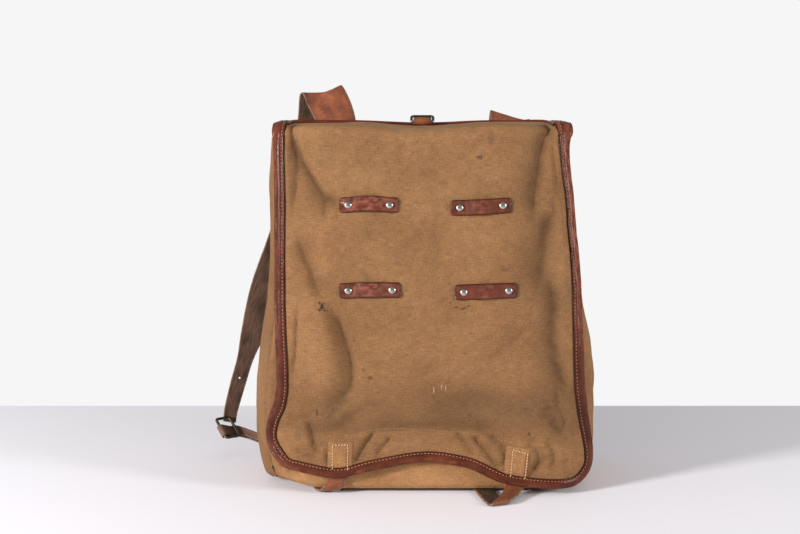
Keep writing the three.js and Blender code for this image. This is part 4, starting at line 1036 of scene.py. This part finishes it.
def bindingSection():
    wide = binding["flange"]
    turn = np.radians(np.linspace(*binding["beadTurn"], binding["beadPoints"]))
    middleOut, middleUp = binding["beadMiddle"]
    radius = binding["beadRadius"]
    bead = np.stack([middleOut + radius * np.cos(turn), middleUp + radius * np.sin(turn)], -1)
    front = [(-wide, 0.3), (-wide - 0.05, 0.9), (-wide + 0.4, 1.35), (-wide + 1.4, 1.5), (-wide + 2.3, 1.35),
             (-wide + 3.0, 1.05), (-wide + 3.7, 1.35), (-wide + 4.8, 1.85), (-4.2, 2.2), (-2.6, 2.25),
             (-1.4, 2.1)]
    back = [(-1.6, -3.5), (-3.0, -3.15), (-wide + 3.0, -2.9), (-wide + 0.4, -2.9), (-wide, -2.5),
            (-wide, -1.85)]
    slot = [(-0.5, -1.85), (-0.5, 0.25)]
    return np.concatenate([front, bead, back, slot])


def flapEdgeLine():
    down = np.linspace(flapRows, 0, binding["sideSteps"])
    over = np.linspace(flapColumns, 0, binding["hemSteps"])[1:-1]
    i = np.concatenate([np.full(len(down), float(flapColumns)), over, np.zeros(len(down))])
    j = np.concatenate([down, np.zeros(len(over)), down[::-1]])
    points, normals = flapAt(i, j)[:2]
    along = lengthsAlong(points)
    at = np.linspace(0, along[-1], int(along[-1] / binding["step"]))
    centres = readAt(at, along, points)
    return centres, unit(readAt(at, along, normals)), np.interp(at, along, i), np.interp(at, along, j)


# How far the canvas rises above the plane of the binding, at distances in from the flap's edge
def canvasRise(i, j, centres, outward, upward, distances):
    onLeft = i < flapColumns / 2
    radius = np.where(onLeft, flap["hemCornerLeft"], flap["hemCornerRight"])
    rises = []
    for distance in distances:
        spots = centres - outward * distance
        onFront = onFlap(spots[:, 0], spots[:, 2])[0] - spots
        steps = flap["cornerColumns"] * 2 / math.pi * np.arccos(1 - distance / radius)
        onTop = flapAt(np.where(onLeft, steps, flapColumns - steps), j)[0] - centres
        off = np.where((j < flap["frontRows"])[:, None], onFront, onTop)
        rises.append(np.sum(off * upward, -1))
    return np.stack(rises, -1)


def flapBinding():
    centres, normals, i, j = flapEdgeLine()
    along = alongOf(centres)
    outward = unit(np.cross(normals, along))
    upward = np.cross(along, outward)
    length = lengthsAlong(centres)
    height = centres[:, 2]
    onLeft = centres[:, 0] < 0
    onSide = {"left": onLeft, "right": ~onLeft}
    section = bindingSection()
    sections = np.broadcast_to(section, (len(centres),) + section.shape).copy()
    swell, swellLength = binding["swell"]
    swollen = 1 + swell * unevenness(length, 0 * length, swellLength, 81)[:, None]
    rolled = smooth(*binding["rollFrom"], section[:, 0])
    sections[..., 0] *= mix(1, swollen, rolled)
    for side, (amount, middle, run) in binding["shoulders"].items():
        bulge = onSide[side] * amount * np.exp(-((height - middle) / run) ** 2)
        sections[..., 0] += bulge[:, None] * rolled
    widths = [1 + onSide[side] * amount * smooth(low, high, height)
              for side, (amount, low, high) in binding["gathers"].items()]
    widths.append(1 - binding["hemNarrow"] * smooth(*binding["hemLevel"], np.abs(along[:, 0])))
    inset = np.full(len(centres), binding["stitchInset"])
    for width in widths:
        sections[..., 0] = np.where(section[:, 0] < 0, sections[..., 0] * width[:, None], sections[..., 0])
        inset = inset * width
    distances = np.arange(0, binding["followed"])
    rises = canvasRise(i, j, centres, outward, upward, distances)

    def riseAt(k, inward):
        return np.interp(np.maximum(inward, 0), distances, rises[k])

    sections[..., 1] += np.stack([riseAt(k, -sections[k, :, 0]) for k in range(len(centres))])
    stitchHeight = binding["stitchLift"] + np.array([riseAt(k, inset[k]) for k in range(len(centres))])
    rough, roughLength = binding["surface"]
    around = 9 * section[:, 0]
    sections[..., 1] += rough * unevenness(length[:, None] + 0 * around, around, roughLength, 82)
    rubbing = 0.5 + 0.5 * unevenness(length, 0 * length, binding["rubbedLength"], 83)
    worn = rolled * np.where(section[:, 1] > binding["rollBack"], *binding["rubbed"]) * rubbing[:, None]
    worn = worn + binding["dulled"] * (~onLeft * smooth(*binding["dulledHeights"], height))[:, None]
    # Painted shade along the stitches' groove and at the flange's rim where it meets the canvas
    grooveDark, grooveWidth = binding["painted_shade"]
    painted_shade = grooveDark * np.exp(-((section[:, 0] + binding["stitchInset"]) / grooveWidth) ** 2)
    rimDark, rimWidth = binding["rim"]
    rim = np.where(section[:, 0] < -binding["flange"] + rimWidth, rimDark, 0.0)
    greased = np.where(onLeft, *[readTable(binding["grease"], side, height) for side in (1, 2)])
    dark = np.maximum(np.maximum(rim, painted_shade), greased[:, None])
    leather = sweep(centres, outward, upward, sections, worn=np.clip(worn, 0, 1), edge=dark)
    line = centres - outward * inset[:, None] + upward * stitchHeight[:, None]
    return [leather, stitchRow(line, upward, binding["stitchPitch"], binding["stitchLength"],
                               binding["stitchRadius"], 84)]


addPiece("flap_binding_leather", flapBinding(), "flap_binding",
         [bindingLeather, paleThread])


# Piping up the back's left seam, along the top back edge and down the right seam
piping = {"radius": 3.2, "topRadius": 1.9, "gap": 0.8, "bottom": 16, "seamTop": 350, "top": 374.2,
          "depth": 58.6, "cornerRun": 12, "sagShare": 0.6, "thinRun": 16}


def backPiping():
    offset = (piping["radius"] + piping["gap"]) * math.sqrt(0.5)

    def seam(side, z):
        point = wallPoint("back", np.array(1.0 if side < 0 else 0.0), np.array(float(z)))
        return np.array([point[0] + side * offset, point[1] + offset, z])

    def corner(side):
        foot = seam(side, piping["seamTop"])
        return [foot + [side * 1.6, 1.8, 12], foot + [side * -1.5, 4.6, 21]]

    heights = np.linspace(piping["bottom"], piping["seamTop"], 9)
    ends = [seam(side, piping["seamTop"])[0] - side * piping["cornerRun"] for side in (-1, 1)]
    top = [[x, piping["depth"], piping["top"] - sagAt(x) * piping["sagShare"]]
           for x in np.linspace(*ends, 11)]
    leftSeam = [seam(-1, z) for z in heights]
    rightSeam = [seam(1, z) for z in heights[::-1]]
    line = leftSeam + corner(-1) + top + corner(1)[::-1] + rightSeam
    centres = curveThrough(line, 14)
    along = alongOf(centres)
    backward = unit(np.array([0, 1.0, 0]) - along * along[:, 1:2])
    length = lengthsAlong(centres)[:, None]
    turn = np.linspace(0, 2 * math.pi, 17)[:-1]
    thin = smooth(piping["seamTop"], piping["seamTop"] + piping["thinRun"], centres[:, 2:])
    uneven = 1 + 0.05 * unevenness(length, 5 * turn, 14, 91)
    radius = mix(piping["radius"], piping["topRadius"], thin) * uneven
    section = np.stack([radius * np.cos(turn), radius * np.sin(turn)], -1)
    worn = np.broadcast_to((1 - thin) * (0.4 + 0.4 * unevenness(length, 0 * turn, 45, 92)), section.shape[:2])
    tube = sweep(centres, backward, np.cross(along, backward), section, worn=np.clip(worn, 0, 1))
    girth = np.broadcast_to(piping["radius"] * turn, section.shape[:2])
    tube["cut"] = np.stack([girth.ravel(), tube["cut"][:, 1]], -1)
    return tube


addPiece("back_piping_leather", [backPiping()], "back_piping", [bindingLeather])
print("binding and piping ready")


# Keepers riveted to the flap, and their rivets: the two rivet places of each, how far its middle bows up,
# and how much it is rubbed
keepers = {
    "upper_left": (-77.9, 295, -36.4, 295, 1.7, 0.7),
    "upper_right": (33.6, 292.3, 76.7, 294.4, -0.4, 0),
    "lower_left": (-77.8, 210, -33.9, 210.6, 0.8, 0.4),
    "lower_right": (37.8, 208.4, 82.7, 210, 0.3, 0),
}
keeper = {
    "width": 15.5,
    "end": 8.8,
    "arch": 2.9,
    "archPower": 1.3,
    "thickness": 1.8,
    "corner": 3.5,
    "flatShare": 0.12,
    "lift": 0.4,
    "edgeRound": 1.1,
    "edgeThinning": 0.9,
    "darkEdge": 2.2,
    # rubbing of the arch, and the amount and width of its unevenness
    "archRub": 0.4,
    "rubPatches": (0.3, 7),
    # points along and across, and how much closer they lie towards the ends
    "columns": 72,
    "rows": 26,
    "crowding": 0.6,
    # depth, width and own seed of the dents, and depth and squared width of the hollows under the rivets
    "dents": [(0.6, 9, 0), (0.15, 4, 7)],
    "rivetSink": 0.5,
    "rivetSinkSquare": 22,
}
rivet = {"headRadius": 3.8, "headHeight": 1.9, "shankRadius": 1.5, "tailRadius": 2.8, "tailHeight": 0.8,
         "grip": 2.6, "lift": 0.25, "sides": 28, "domeSteps": 8}


# Shares from 0 to 1 that lie closer together towards both ends
def crowded(count):
    eased = (1 - np.cos(np.linspace(0, math.pi, count))) / 2
    return mix(np.linspace(0, 1, count), eased, keeper["crowding"])


def keeperStrap(x0, z0, x1, z1, bow, rub, seed):
    length = math.hypot(x1 - x0, z1 - z0)
    wayX, wayZ = (x1 - x0) / length, (z1 - z0) / length
    s = mix(-keeper["end"], length + keeper["end"], crowded(keeper["columns"]))
    toEnd = np.minimum(s + keeper["end"], length + keeper["end"] - s)
    past = np.maximum(0, keeper["corner"] - toEnd)
    half = keeper["width"] / 2 - keeper["corner"] + np.sqrt(keeper["corner"] ** 2 - past ** 2)
    across = (2 * crowded(keeper["rows"])[:, None] - 1) * half
    s = np.broadcast_to(s, across.shape)
    bowed = across + bow * np.sin(math.pi * np.clip(s / length, 0, 1))
    x = x0 + wayX * s - wayZ * bowed
    z = z0 + wayZ * s + wayX * bowed
    middle = np.clip((s / length - keeper["flatShare"]) / (1 - 2 * keeper["flatShare"]), 0, 1)
    arch = keeper["arch"] * np.sin(math.pi * middle) ** keeper["archPower"]
    inside = np.minimum(half - np.abs(across), toEnd)
    rounding = keeper["edgeRound"] * (1 - np.clip(inside / keeper["edgeRound"], 0, 1)) ** 2
    dent = sum(deep * unevenness(s, across, wide, seed + more) for deep, wide, more in keeper["dents"])
    sunk = keeper["rivetSink"] * sum(np.exp(-((s - at) ** 2 + across ** 2) / keeper["rivetSinkSquare"])
                                     for at in (0, length))
    outer, normals = onFlap(x, z, keeper["lift"] + keeper["thickness"] + arch + dent - rounding - sunk)
    thick = keeper["thickness"] - rounding * keeper["edgeThinning"]
    edge = np.clip(1 - inside / keeper["darkEdge"], 0, 1)
    patchy, patchWidth = keeper["rubPatches"]
    worn = rub + keeper["archRub"] * np.sin(math.pi * middle)
    worn = np.clip(worn + patchy * unevenness(s, across, patchWidth, seed + 3), 0, 1)
    return clothSheet(outer, normals, thick[..., None], np.stack([across, s], -1), edge=edge, worn=worn)


def rivetBody(x, z):
    place, normal = onFlap(np.array(x), np.array(z), keeper["lift"] + keeper["thickness"])
    low = -keeper["thickness"] - rivet["grip"]
    head = rivet["headRadius"]
    foot = rivet["lift"]
    top = rivet["headHeight"] + foot
    turn = np.linspace(0, math.pi / 2, rivet["domeSteps"] + 1)
    profile = [(rivet["tailRadius"], low - rivet["tailHeight"]), (rivet["tailRadius"], low),
               (rivet["shankRadius"], low), (rivet["shankRadius"], -0.2), (head * 0.97, -0.2), (head, 0.1)]
    profile += [(head * math.cos(t), foot + (top - foot) * math.sin(t)) for t in turn[:-1]]
    profile.append((0.05, top))
    sides = rivet["sides"]
    angle = np.arange(sides) * 2 * math.pi / sides
    right = unit(np.cross(normal, [0, 0, 1.0]))
    over = np.cross(right, normal)
    spokes = [right * math.cos(a) + over * math.sin(a) for a in angle]
    rings = np.array([[place + normal * high + radius * spoke for spoke in spokes]
                      for radius, high in profile])
    faces = gridFaces(len(profile), sides, wrapColumns=True).tolist()
    faces += [list(range(sides)), list(range((len(profile) - 1) * sides, len(profile) * sides))]
    cut = np.array([[radius * math.cos(a), radius * math.sin(a)] for radius, _ in profile for a in angle])
    return {"points": rings.reshape(-1, 3), "faces": faces, "cut": cut, "values": {}}


for order, (name, ends) in enumerate(keepers.items()):
    addPiece(f"keeper_{name}_leather", [keeperStrap(*ends, 101 + order)], f"keeper_{name}",
             [keeperLeather])
    for end, (x, z) in zip("ab", (ends[:2], ends[2:4])):
        addPiece(f"rivet_{name}_{end}_steel", [rivetBody(x, z)], f"rivet_{name}_{end}",
                 [rivetSteel])
print("keepers and rivets ready")


# Sewn patches above the closure straps: the middle of the top edge, the width, the sideways shift of the
# lower edge, the slope of the top edge, and the corners of the stitched box from its lower left
closurePatches = {
    "left": {"x": -86.6, "z": 55, "width": 25.5, "shift": -0.5, "slope": 0, "aboveHem": 5.6,
             "box": [(-94.5, 28), (-94.5, 52), (-79.2, 52), (-79.2, 28)], "flat": (0.0255, 0.0285)},
    "right": {"x": 94, "z": 50, "width": 23.5, "shift": -3.5, "slope": -0.2, "aboveHem": 5.6,
              "box": [(85.9, 20.6), (88.5, 47.1), (103.2, 43), (100.2, 17.6)], "flat": (0.0235, 0.031)},
}
sewnPatch = {
    "columns": 40,
    "rows": 44,
    "thickness": 1.0,
    "height": 28,
    # lift of the edge, rise to the middle, its run, and soft humps
    "edgeLift": 0.5,
    "rise": 1.1,
    "riseRun": 5,
    "humps": 0.3,
    "humpCell": 7,
    # depth and width of the hollow along the stitches, and the dirt there and at the edge
    "seamSink": (0.55, 1.5),
    "seamDirt": (0.3, 1.3),
    "edgeDirt": (0.6, 1.4),
    "stitchLift": 1.5,
    "stitchPitch": 3.0,
    "stitchLength": 2.2,
    "stitchRadius": 0.5,
}


def closurePatch(plan, seed):
    u, v = np.meshgrid(np.linspace(-0.5, 0.5, sewnPatch["columns"]), np.linspace(0, 1, sewnPatch["rows"]))
    x = plan["x"] + u * plan["width"] + plan["shift"] * (1 - v)
    bottom = readTable(flap["hem"], 1, x) + plan["aboveHem"]
    z = mix(bottom, plan["z"] + u * plan["width"] * plan["slope"], v)
    toEdge = np.minimum((0.5 - np.abs(u)) * plan["width"], np.minimum(v, 1 - v) * sewnPatch["height"])
    box = np.array(plan["box"])
    line = curveThrough([mix(a, b, t) for a, b in zip(box[:-1], box[1:]) for t in (0.001, 0.5, 0.999)], 12)
    toLine = np.min(np.hypot(x[..., None] - line[:, 0], z[..., None] - line[:, 1]), -1)
    raised = sewnPatch["edgeLift"] + sewnPatch["rise"] * smooth(0, sewnPatch["riseRun"], toEdge)
    raised = raised + sewnPatch["humps"] * unevenness(x, z, sewnPatch["humpCell"], seed)
    sink, sinkWidth = sewnPatch["seamSink"]
    outer, normals = onFlap(x, z, raised - sink * np.exp(-(toLine / sinkWidth) ** 2))
    seamDirt, seamWidth = sewnPatch["seamDirt"]
    edgeDirt, edgeRun = sewnPatch["edgeDirt"]
    dirt_and_shade = seamDirt * np.exp(-(toLine / seamWidth) ** 2) + edgeDirt * (1 - smooth(0, edgeRun, toEdge))
    sheet = clothSheet(outer, normals, sewnPatch["thickness"], np.stack([x, z], -1), fold=np.clip(dirt_and_shade, 0, 1))
    row, normal = onFlap(line[:, 0], line[:, 1], sewnPatch["stitchLift"])
    return [sheet, stitchRow(row, normal, sewnPatch["stitchPitch"], sewnPatch["stitchLength"],
                             sewnPatch["stitchRadius"], seed)]


for order, (name, plan) in enumerate(closurePatches.items()):
    patch = addPiece(f"closure_patch_{name}_cloth", closurePatch(plan, 121 + order), f"closure_patch_{name}",
                     [patchCanvas, tanThread])


# Closure straps: centre line and turn about the upright, from behind the hem to below the bag, and holes at
# shares of the length
closureStraps = {
    "left": {"line": [(-88, -71.8, 46, 0), (-88.6, -73.8, 30, 0), (-89.6, -74.9, 18.5, 0),
                      (-92.6, -75.2, 11, 0), (-96.5, -73.4, 5.4, 0), (-100.5, -68, 2.6, 0),
                      (-104, -60, 1.6, 0), (-107, -48, 1.5, 0)], "holes": []},
    "right": {"line": [(92, -72.4, 40, 0), (92, -74, 26, 0), (91.3, -75.4, 14, 0), (90.3, -79, 9.2, 0.02),
                       (85.6, -90.5, 5.9, 0.2), (80.4, -101.5, 4.9, 0.33), (76, -109.5, 4.6, 0.36),
                       (73.6, -112.4, 3.0, 0.36), (72.2, -110.5, 1.5, 0.36), (68.4, -102, 1.45, 0.34),
                       (64.6, -85.5, 1.45, 0.28), (60.8, -67, 1.45, 0.18), (57, -48, 1.5, 0.1)],
              "holes": [0.44, 0.72]},
}
closureStrap = {"width": 20, "thickness": 2.5, "ripple": 0.12, "rubbedBelow": (8, 2.5), "holeRadius": 1.4,
                "holeReach": 2}

for order, (name, plan) in enumerate(closureStraps.items()):
    path = curveThrough(plan["line"], 12)
    centres = path[:, :3]
    turn = path[:, 3]
    along = alongOf(centres)
    across = np.stack([np.cos(turn), np.sin(turn), 0 * turn], -1)
    face = unit(np.cross(along, across))
    band = strip(centres, across, face, closureStrap["width"], closureStrap["thickness"],
                 closureStrap["ripple"], 131 + order)
    band["points"][:, 2] = np.maximum(band["points"][:, 2], 0)  # rests on the table
    band["values"]["worn"] = smooth(*closureStrap["rubbedBelow"], band["points"][:, 2])
    strapPiece = addPiece(f"closure_strap_{name}_leather", [band], f"closure_strap_{name}",
                          [closureGrain, closureFlesh, strapEdge])
    at = [int(share * (len(centres) - 1)) for share in plan["holes"]]
    if at:
        punchHoles(strapPiece, centres[at], face[at], closureStrap["holeRadius"], closureStrap["holeReach"])
print("closures ready")


# Shoulder straps: centre line, width and tilt from the back panel over the top and down to the buckle
shoulderStraps = {
    "left": [(-94, 61, 296, 43, 0), (-94, 61.4, 345, 43, 0), (-95.5, 65, 374, 43, 0.06),
             (-102, 69, 392, 44, 0.1), (-110, 76, 404.5, 44.5, 0.1), (-114, 86, 400, 44.5, 0.1),
             (-117.5, 93, 372, 44, 0.12), (-132.5, 99, 308, 43.5, 0.18), (-152, 101, 245, 42.5, 0.26),
             (-177, 99, 182, 38, 0.3), (-194, 95, 131, 26, 0.27), (-201.5, 91, 106, 18.5, 0.27),
             (-208.3, 89, 83, 17.5, 0.27), (-214.5, 88.5, 61, 16.5, 0.2), (-218.5, 90, 46, 15.5, 0.25),
             (-220.5, 91, 33, 15, 0.25)],
    "right": [(95, 61, 296, 43, 0), (95, 61.4, 345, 43, 0), (95, 64.8, 367, 44, -0.2),
              (93.5, 68, 376, 44, -0.28), (93.5, 76, 379.2, 44, -0.3), (94, 85, 366, 44, -0.3),
              (104, 95, 308, 43.5, -0.1), (112, 99, 245, 42.5, -0.13), (122, 98, 182, 38, -0.18),
              (132, 94, 131, 26, -0.18), (137, 90, 106, 18.5, -0.16), (141, 87, 83, 17.5, -0.14),
              (144, 87, 61, 16.5, -0.1), (145, 88.8, 48, 15.5, -0.05), (145.5, 89.8, 36, 15, 0)],
}
shoulderStrap = {"thickness": 2.2, "ripple": 0.4, "holeRadius": 1.2, "holeHeight": 85}

for order, (name, rows) in enumerate(shoulderStraps.items()):
    path = curveThrough(rows, 14)
    centres = path[:, :3]
    along = alongOf(centres)
    tilt = path[:, 4]
    across = np.stack([np.cos(tilt), 0 * tilt, np.sin(tilt)], -1)
    across = unit(across - along * np.sum(across * along, -1, keepdims=True))
    face = np.cross(along, across)
    band = strip(centres, across, face, path[:, 3], shoulderStrap["thickness"], shoulderStrap["ripple"],
                 141 + order)
    strapPiece = addPiece(f"shoulder_strap_{name}_leather", [band], f"shoulder_strap_{name}",
                          [strapFlesh, strapGrain, strapEdge])
    lower = len(centres) // 2
    at = lower + int(np.argmin(np.abs(centres[lower:, 2] - shoulderStrap["holeHeight"])))
    punchHoles(strapPiece, [centres[at]], [face[at]], shoulderStrap["holeRadius"])


# Wire frames between the shoulder straps and the lower straps: the middle, the turn about the upright, the
# lean of the long bars, how far down the bars the lower strap sits, and where the lower strap leaves the bag
strapBuckles = {
    "left": {"middle": (-220, 72, 31.5), "turn": 0.64, "lean": 0.95, "slide": 4, "root": (-162, 59, 13)},
    "right": {"middle": (145.5, 80, 35), "turn": 0, "lean": 0.15, "slide": 3, "root": (162, 57, 13)},
}
buckle = {"bar": 28, "span": 17, "corner": 2.5, "wire": 1.5, "flattened": 0.9, "sides": 12, "squareness": 0.7}
lowerStrap = {"width": 15, "thickness": 1.8, "gap": 0.4, "layerGap": 1.2, "barClearance": 0.3, "besideBar": 2,
              "pastBar": 4}


# A closed loop of wire with round corners, in the plane of two directions
def wireLoop(middle, wide, tall, width, height, corner, section, arcSteps=8):
    centres = []
    outwards = []
    for k, (signX, signY) in enumerate(((1, 1), (-1, 1), (-1, -1), (1, -1))):
        for turn in math.pi / 2 * (k + np.arange(arcSteps + 1) / arcSteps):
            outward = wide * math.cos(turn) + tall * math.sin(turn)
            centres.append(middle + wide * signX * (width / 2 - corner) + tall * signY * (height / 2 - corner)
                           + outward * corner)
            outwards.append(outward)
    inward = np.broadcast_to(-np.cross(wide, tall), np.shape(centres))
    return sweep(np.array(centres), np.array(outwards), inward, section, closed=True)


def ovalSection(halfWide, halfHigh, sides, squareness=1.0):
    turn = np.arange(sides) * 2 * math.pi / sides
    circle = np.stack([np.cos(turn), np.sin(turn)], -1)
    return np.sign(circle) * np.abs(circle) ** squareness * [halfWide, halfHigh]


def wrapRound(bar, first, second, radius, fromDegrees, toDegrees, steps=10):
    turn = np.radians(np.linspace(fromDegrees, toDegrees, steps + 1))[:, None]
    return list(bar + radius * (first * np.cos(turn) + second * np.sin(turn)))


# Both layers of a lower strap, from the bag to the buckle, round its bar and back
def lowerStrapLine(plan, middle, barWay, spanWay, faceWay):
    radius = buckle["wire"] + lowerStrap["gap"] + lowerStrap["thickness"] / 2
    step = lowerStrap["thickness"] + lowerStrap["layerGap"]
    centre = middle + barWay * plan["slide"]
    root = np.array(plan["root"], float)
    near = radius + lowerStrap["barClearance"]
    past, beside = lowerStrap["pastBar"], -lowerStrap["besideBar"]

    def behind(run, depth):
        return centre + spanWay * (buckle["span"] / 2 + run) - faceWay * depth

    wrap = wrapRound(centre - spanWay * buckle["span"] / 2, spanWay, faceWay, radius, 75, 285)
    return [root + faceWay * step, behind(past, near), behind(beside, near), *wrap,
            behind(beside, near + step), behind(past, near + step), root]


for order, (name, plan) in enumerate(strapBuckles.items()):
    middle = np.array(plan["middle"], float)
    spanWay = np.array([math.cos(plan["turn"]), math.sin(plan["turn"]), 0])
    forward = np.array([math.sin(plan["turn"]), -math.cos(plan["turn"]), 0])
    barWay = forward * math.sin(plan["lean"]) - np.array([0, 0, math.cos(plan["lean"])])
    faceWay = np.cross(barWay, spanWay)
    section = ovalSection(buckle["wire"], buckle["wire"] * buckle["flattened"], buckle["sides"],
                          buckle["squareness"])
    loop = wireLoop(middle, spanWay, barWay, buckle["span"], buckle["bar"], buckle["corner"], section)
    addPiece(f"strap_buckle_{name}_steel", [loop], f"strap_buckle_{name}", [wireSteel])
    centres = curveThrough(lowerStrapLine(plan, middle, barWay, spanWay, faceWay), 6)
    across = np.broadcast_to(barWay, centres.shape)
    face = unit(np.cross(alongOf(centres), across))
    band = strip(centres, across, face, lowerStrap["width"], lowerStrap["thickness"], seed=151 + order)
    addPiece(f"lower_strap_{name}_leather", [band], f"lower_strap_{name}",
             [lowerGrain, strapFlesh, strapEdge])


# The ring at the middle of the top, held by a rolled leather tab
topRing = {"width": 23.4, "height": 9.5, "corner": 2.6, "lean": 58, "bar": (-2, 49, 375), "wire": 1.4,
           "sides": 14}
ringTab = {"width": 19.4, "thickness": 1.6, "gap": 0.6, "barrel": 0.2, "lowerEnd": (0, 4.6, 0.3),
           "upperEnd": (0, 3.4, -0.2)}

lean = math.radians(topRing["lean"])
ringUp = np.array([0, math.sin(lean), math.cos(lean)])
acrossBag, deepBag, upBag = np.eye(3)
ringBar = np.array(topRing["bar"])
ringSection = ovalSection(topRing["wire"], topRing["wire"], topRing["sides"])
ringLoop = wireLoop(ringBar + ringUp * topRing["height"] / 2, acrossBag, ringUp, topRing["width"],
                    topRing["height"], topRing["corner"], ringSection)
addPiece("top_ring_steel", [ringLoop], "top_ring", [wireSteel])
tabRadius = topRing["wire"] + ringTab["gap"] + ringTab["thickness"] / 2
tabWrap = wrapRound(ringBar, deepBag, upBag, tabRadius, 270, 90)
tabLine = [ringBar + ringTab["lowerEnd"] - upBag * tabRadius, *tabWrap,
           ringBar + ringTab["upperEnd"] + upBag * tabRadius]
tabCentres = curveThrough(tabLine, 4)
tabAcross = np.broadcast_to(acrossBag, tabCentres.shape)
tabFace = unit(np.cross(alongOf(tabCentres), tabAcross))
tabBand = strip(tabCentres, tabAcross, tabFace, ringTab["width"], ringTab["thickness"])
fromMiddle = 2 * (tabBand["points"][:, 0] - ringBar[0]) / ringTab["width"]
barrel = 1 + ringTab["barrel"] * (1 - fromMiddle ** 2)
tabBand["points"][:, 1:] = mix(ringBar[1:], tabBand["points"][:, 1:], barrel[:, None])
addPiece("ring_tab_leather", [tabBand], "ring_tab", [strapFlesh, closureGrain, strapEdge])
print("straps, buckles and ring ready")


# A pale table in front of a white room, soft light from the left front and a weaker fill from the right
studio = {
    "tableColour": "#faf7fc",
    "roomColour": "#f6f6f7",
    "roomSeen": 1.0,
    "roomLight": 0.4,
    "tableHalf": 4,
    "tableFar": 0.30,
    "lampsAim": (0, 0, 0.2),
    "key": {"place": (-2.0, -1.3, 0.85), "size": 0.5, "watts": 71},
    "fill": {"place": (2.0, -1.0, 0.7), "size": 0.6, "watts": 29},
}
scene = bpy.context.scene
scene.view_settings.view_transform = "Standard"

half, far = studio["tableHalf"], studio["tableFar"]
tableMesh = bpy.data.meshes.new("table")
tableCorners = [(-half, -half, 0), (half, -half, 0), (half, far, 0), (-half, far, 0)]
tableMesh.from_pydata(tableCorners, [], [(0, 1, 2, 3)])
table = bpy.data.objects.new("table", tableMesh)
scene.collection.objects.link(table)
tableLook = startLook("painted_table")[0]  # painted wood: even, pale and nearly matte
endLook(tableLook, {"Base Color": linear(studio["tableColour"]), "Roughness": 0.7, "Specular IOR Level": 0.2})
tableMesh.materials.append(tableLook)

room = bpy.data.worlds.new("room")
room.use_nodes = True
room.node_tree.nodes.clear()
tree = room.node_tree
rays = addNode(tree, "LightPath")
colour = linear(studio["roomColour"])
seen = addNode(tree, "Background", {"Color": colour, "Strength": studio["roomSeen"]})
soft = addNode(tree, "Background", {"Color": colour, "Strength": studio["roomLight"]})
both = addNode(tree, "MixShader", [rays.outputs["Is Camera Ray"], soft, seen])
addNode(tree, "OutputWorld", {"Surface": both})
scene.world = room

for name in ("key", "fill"):
    plan = studio[name]
    lamp = bpy.data.lights.new(name, "AREA")
    lamp.shape = "DISK"
    lamp.size = plan["size"]
    lamp.energy = plan["watts"]
    lampObject = bpy.data.objects.new(name, lamp)
    lampObject.location = plan["place"]
    aim = Vector(studio["lampsAim"]) - Vector(plan["place"])
    lampObject.rotation_euler = aim.to_track_quat("-Z", "Y").to_euler()
    scene.collection.objects.link(lampObject)

camera = {"place": (-0.026, -1.390, 0.418), "tilt": 82.05, "lens": 60, "sensor": 36}
cameraData = bpy.data.cameras.new("camera")
cameraData.lens = camera["lens"]
cameraData.sensor_width = camera["sensor"]
cameraObject = bpy.data.objects.new("camera", cameraData)
cameraObject.location = camera["place"]
cameraObject.rotation_euler = (math.radians(camera["tilt"]), 0, 0)
scene.collection.objects.link(cameraObject)
scene.camera = cameraObject
print("studio ready")

bpy.context.view_layer.update()
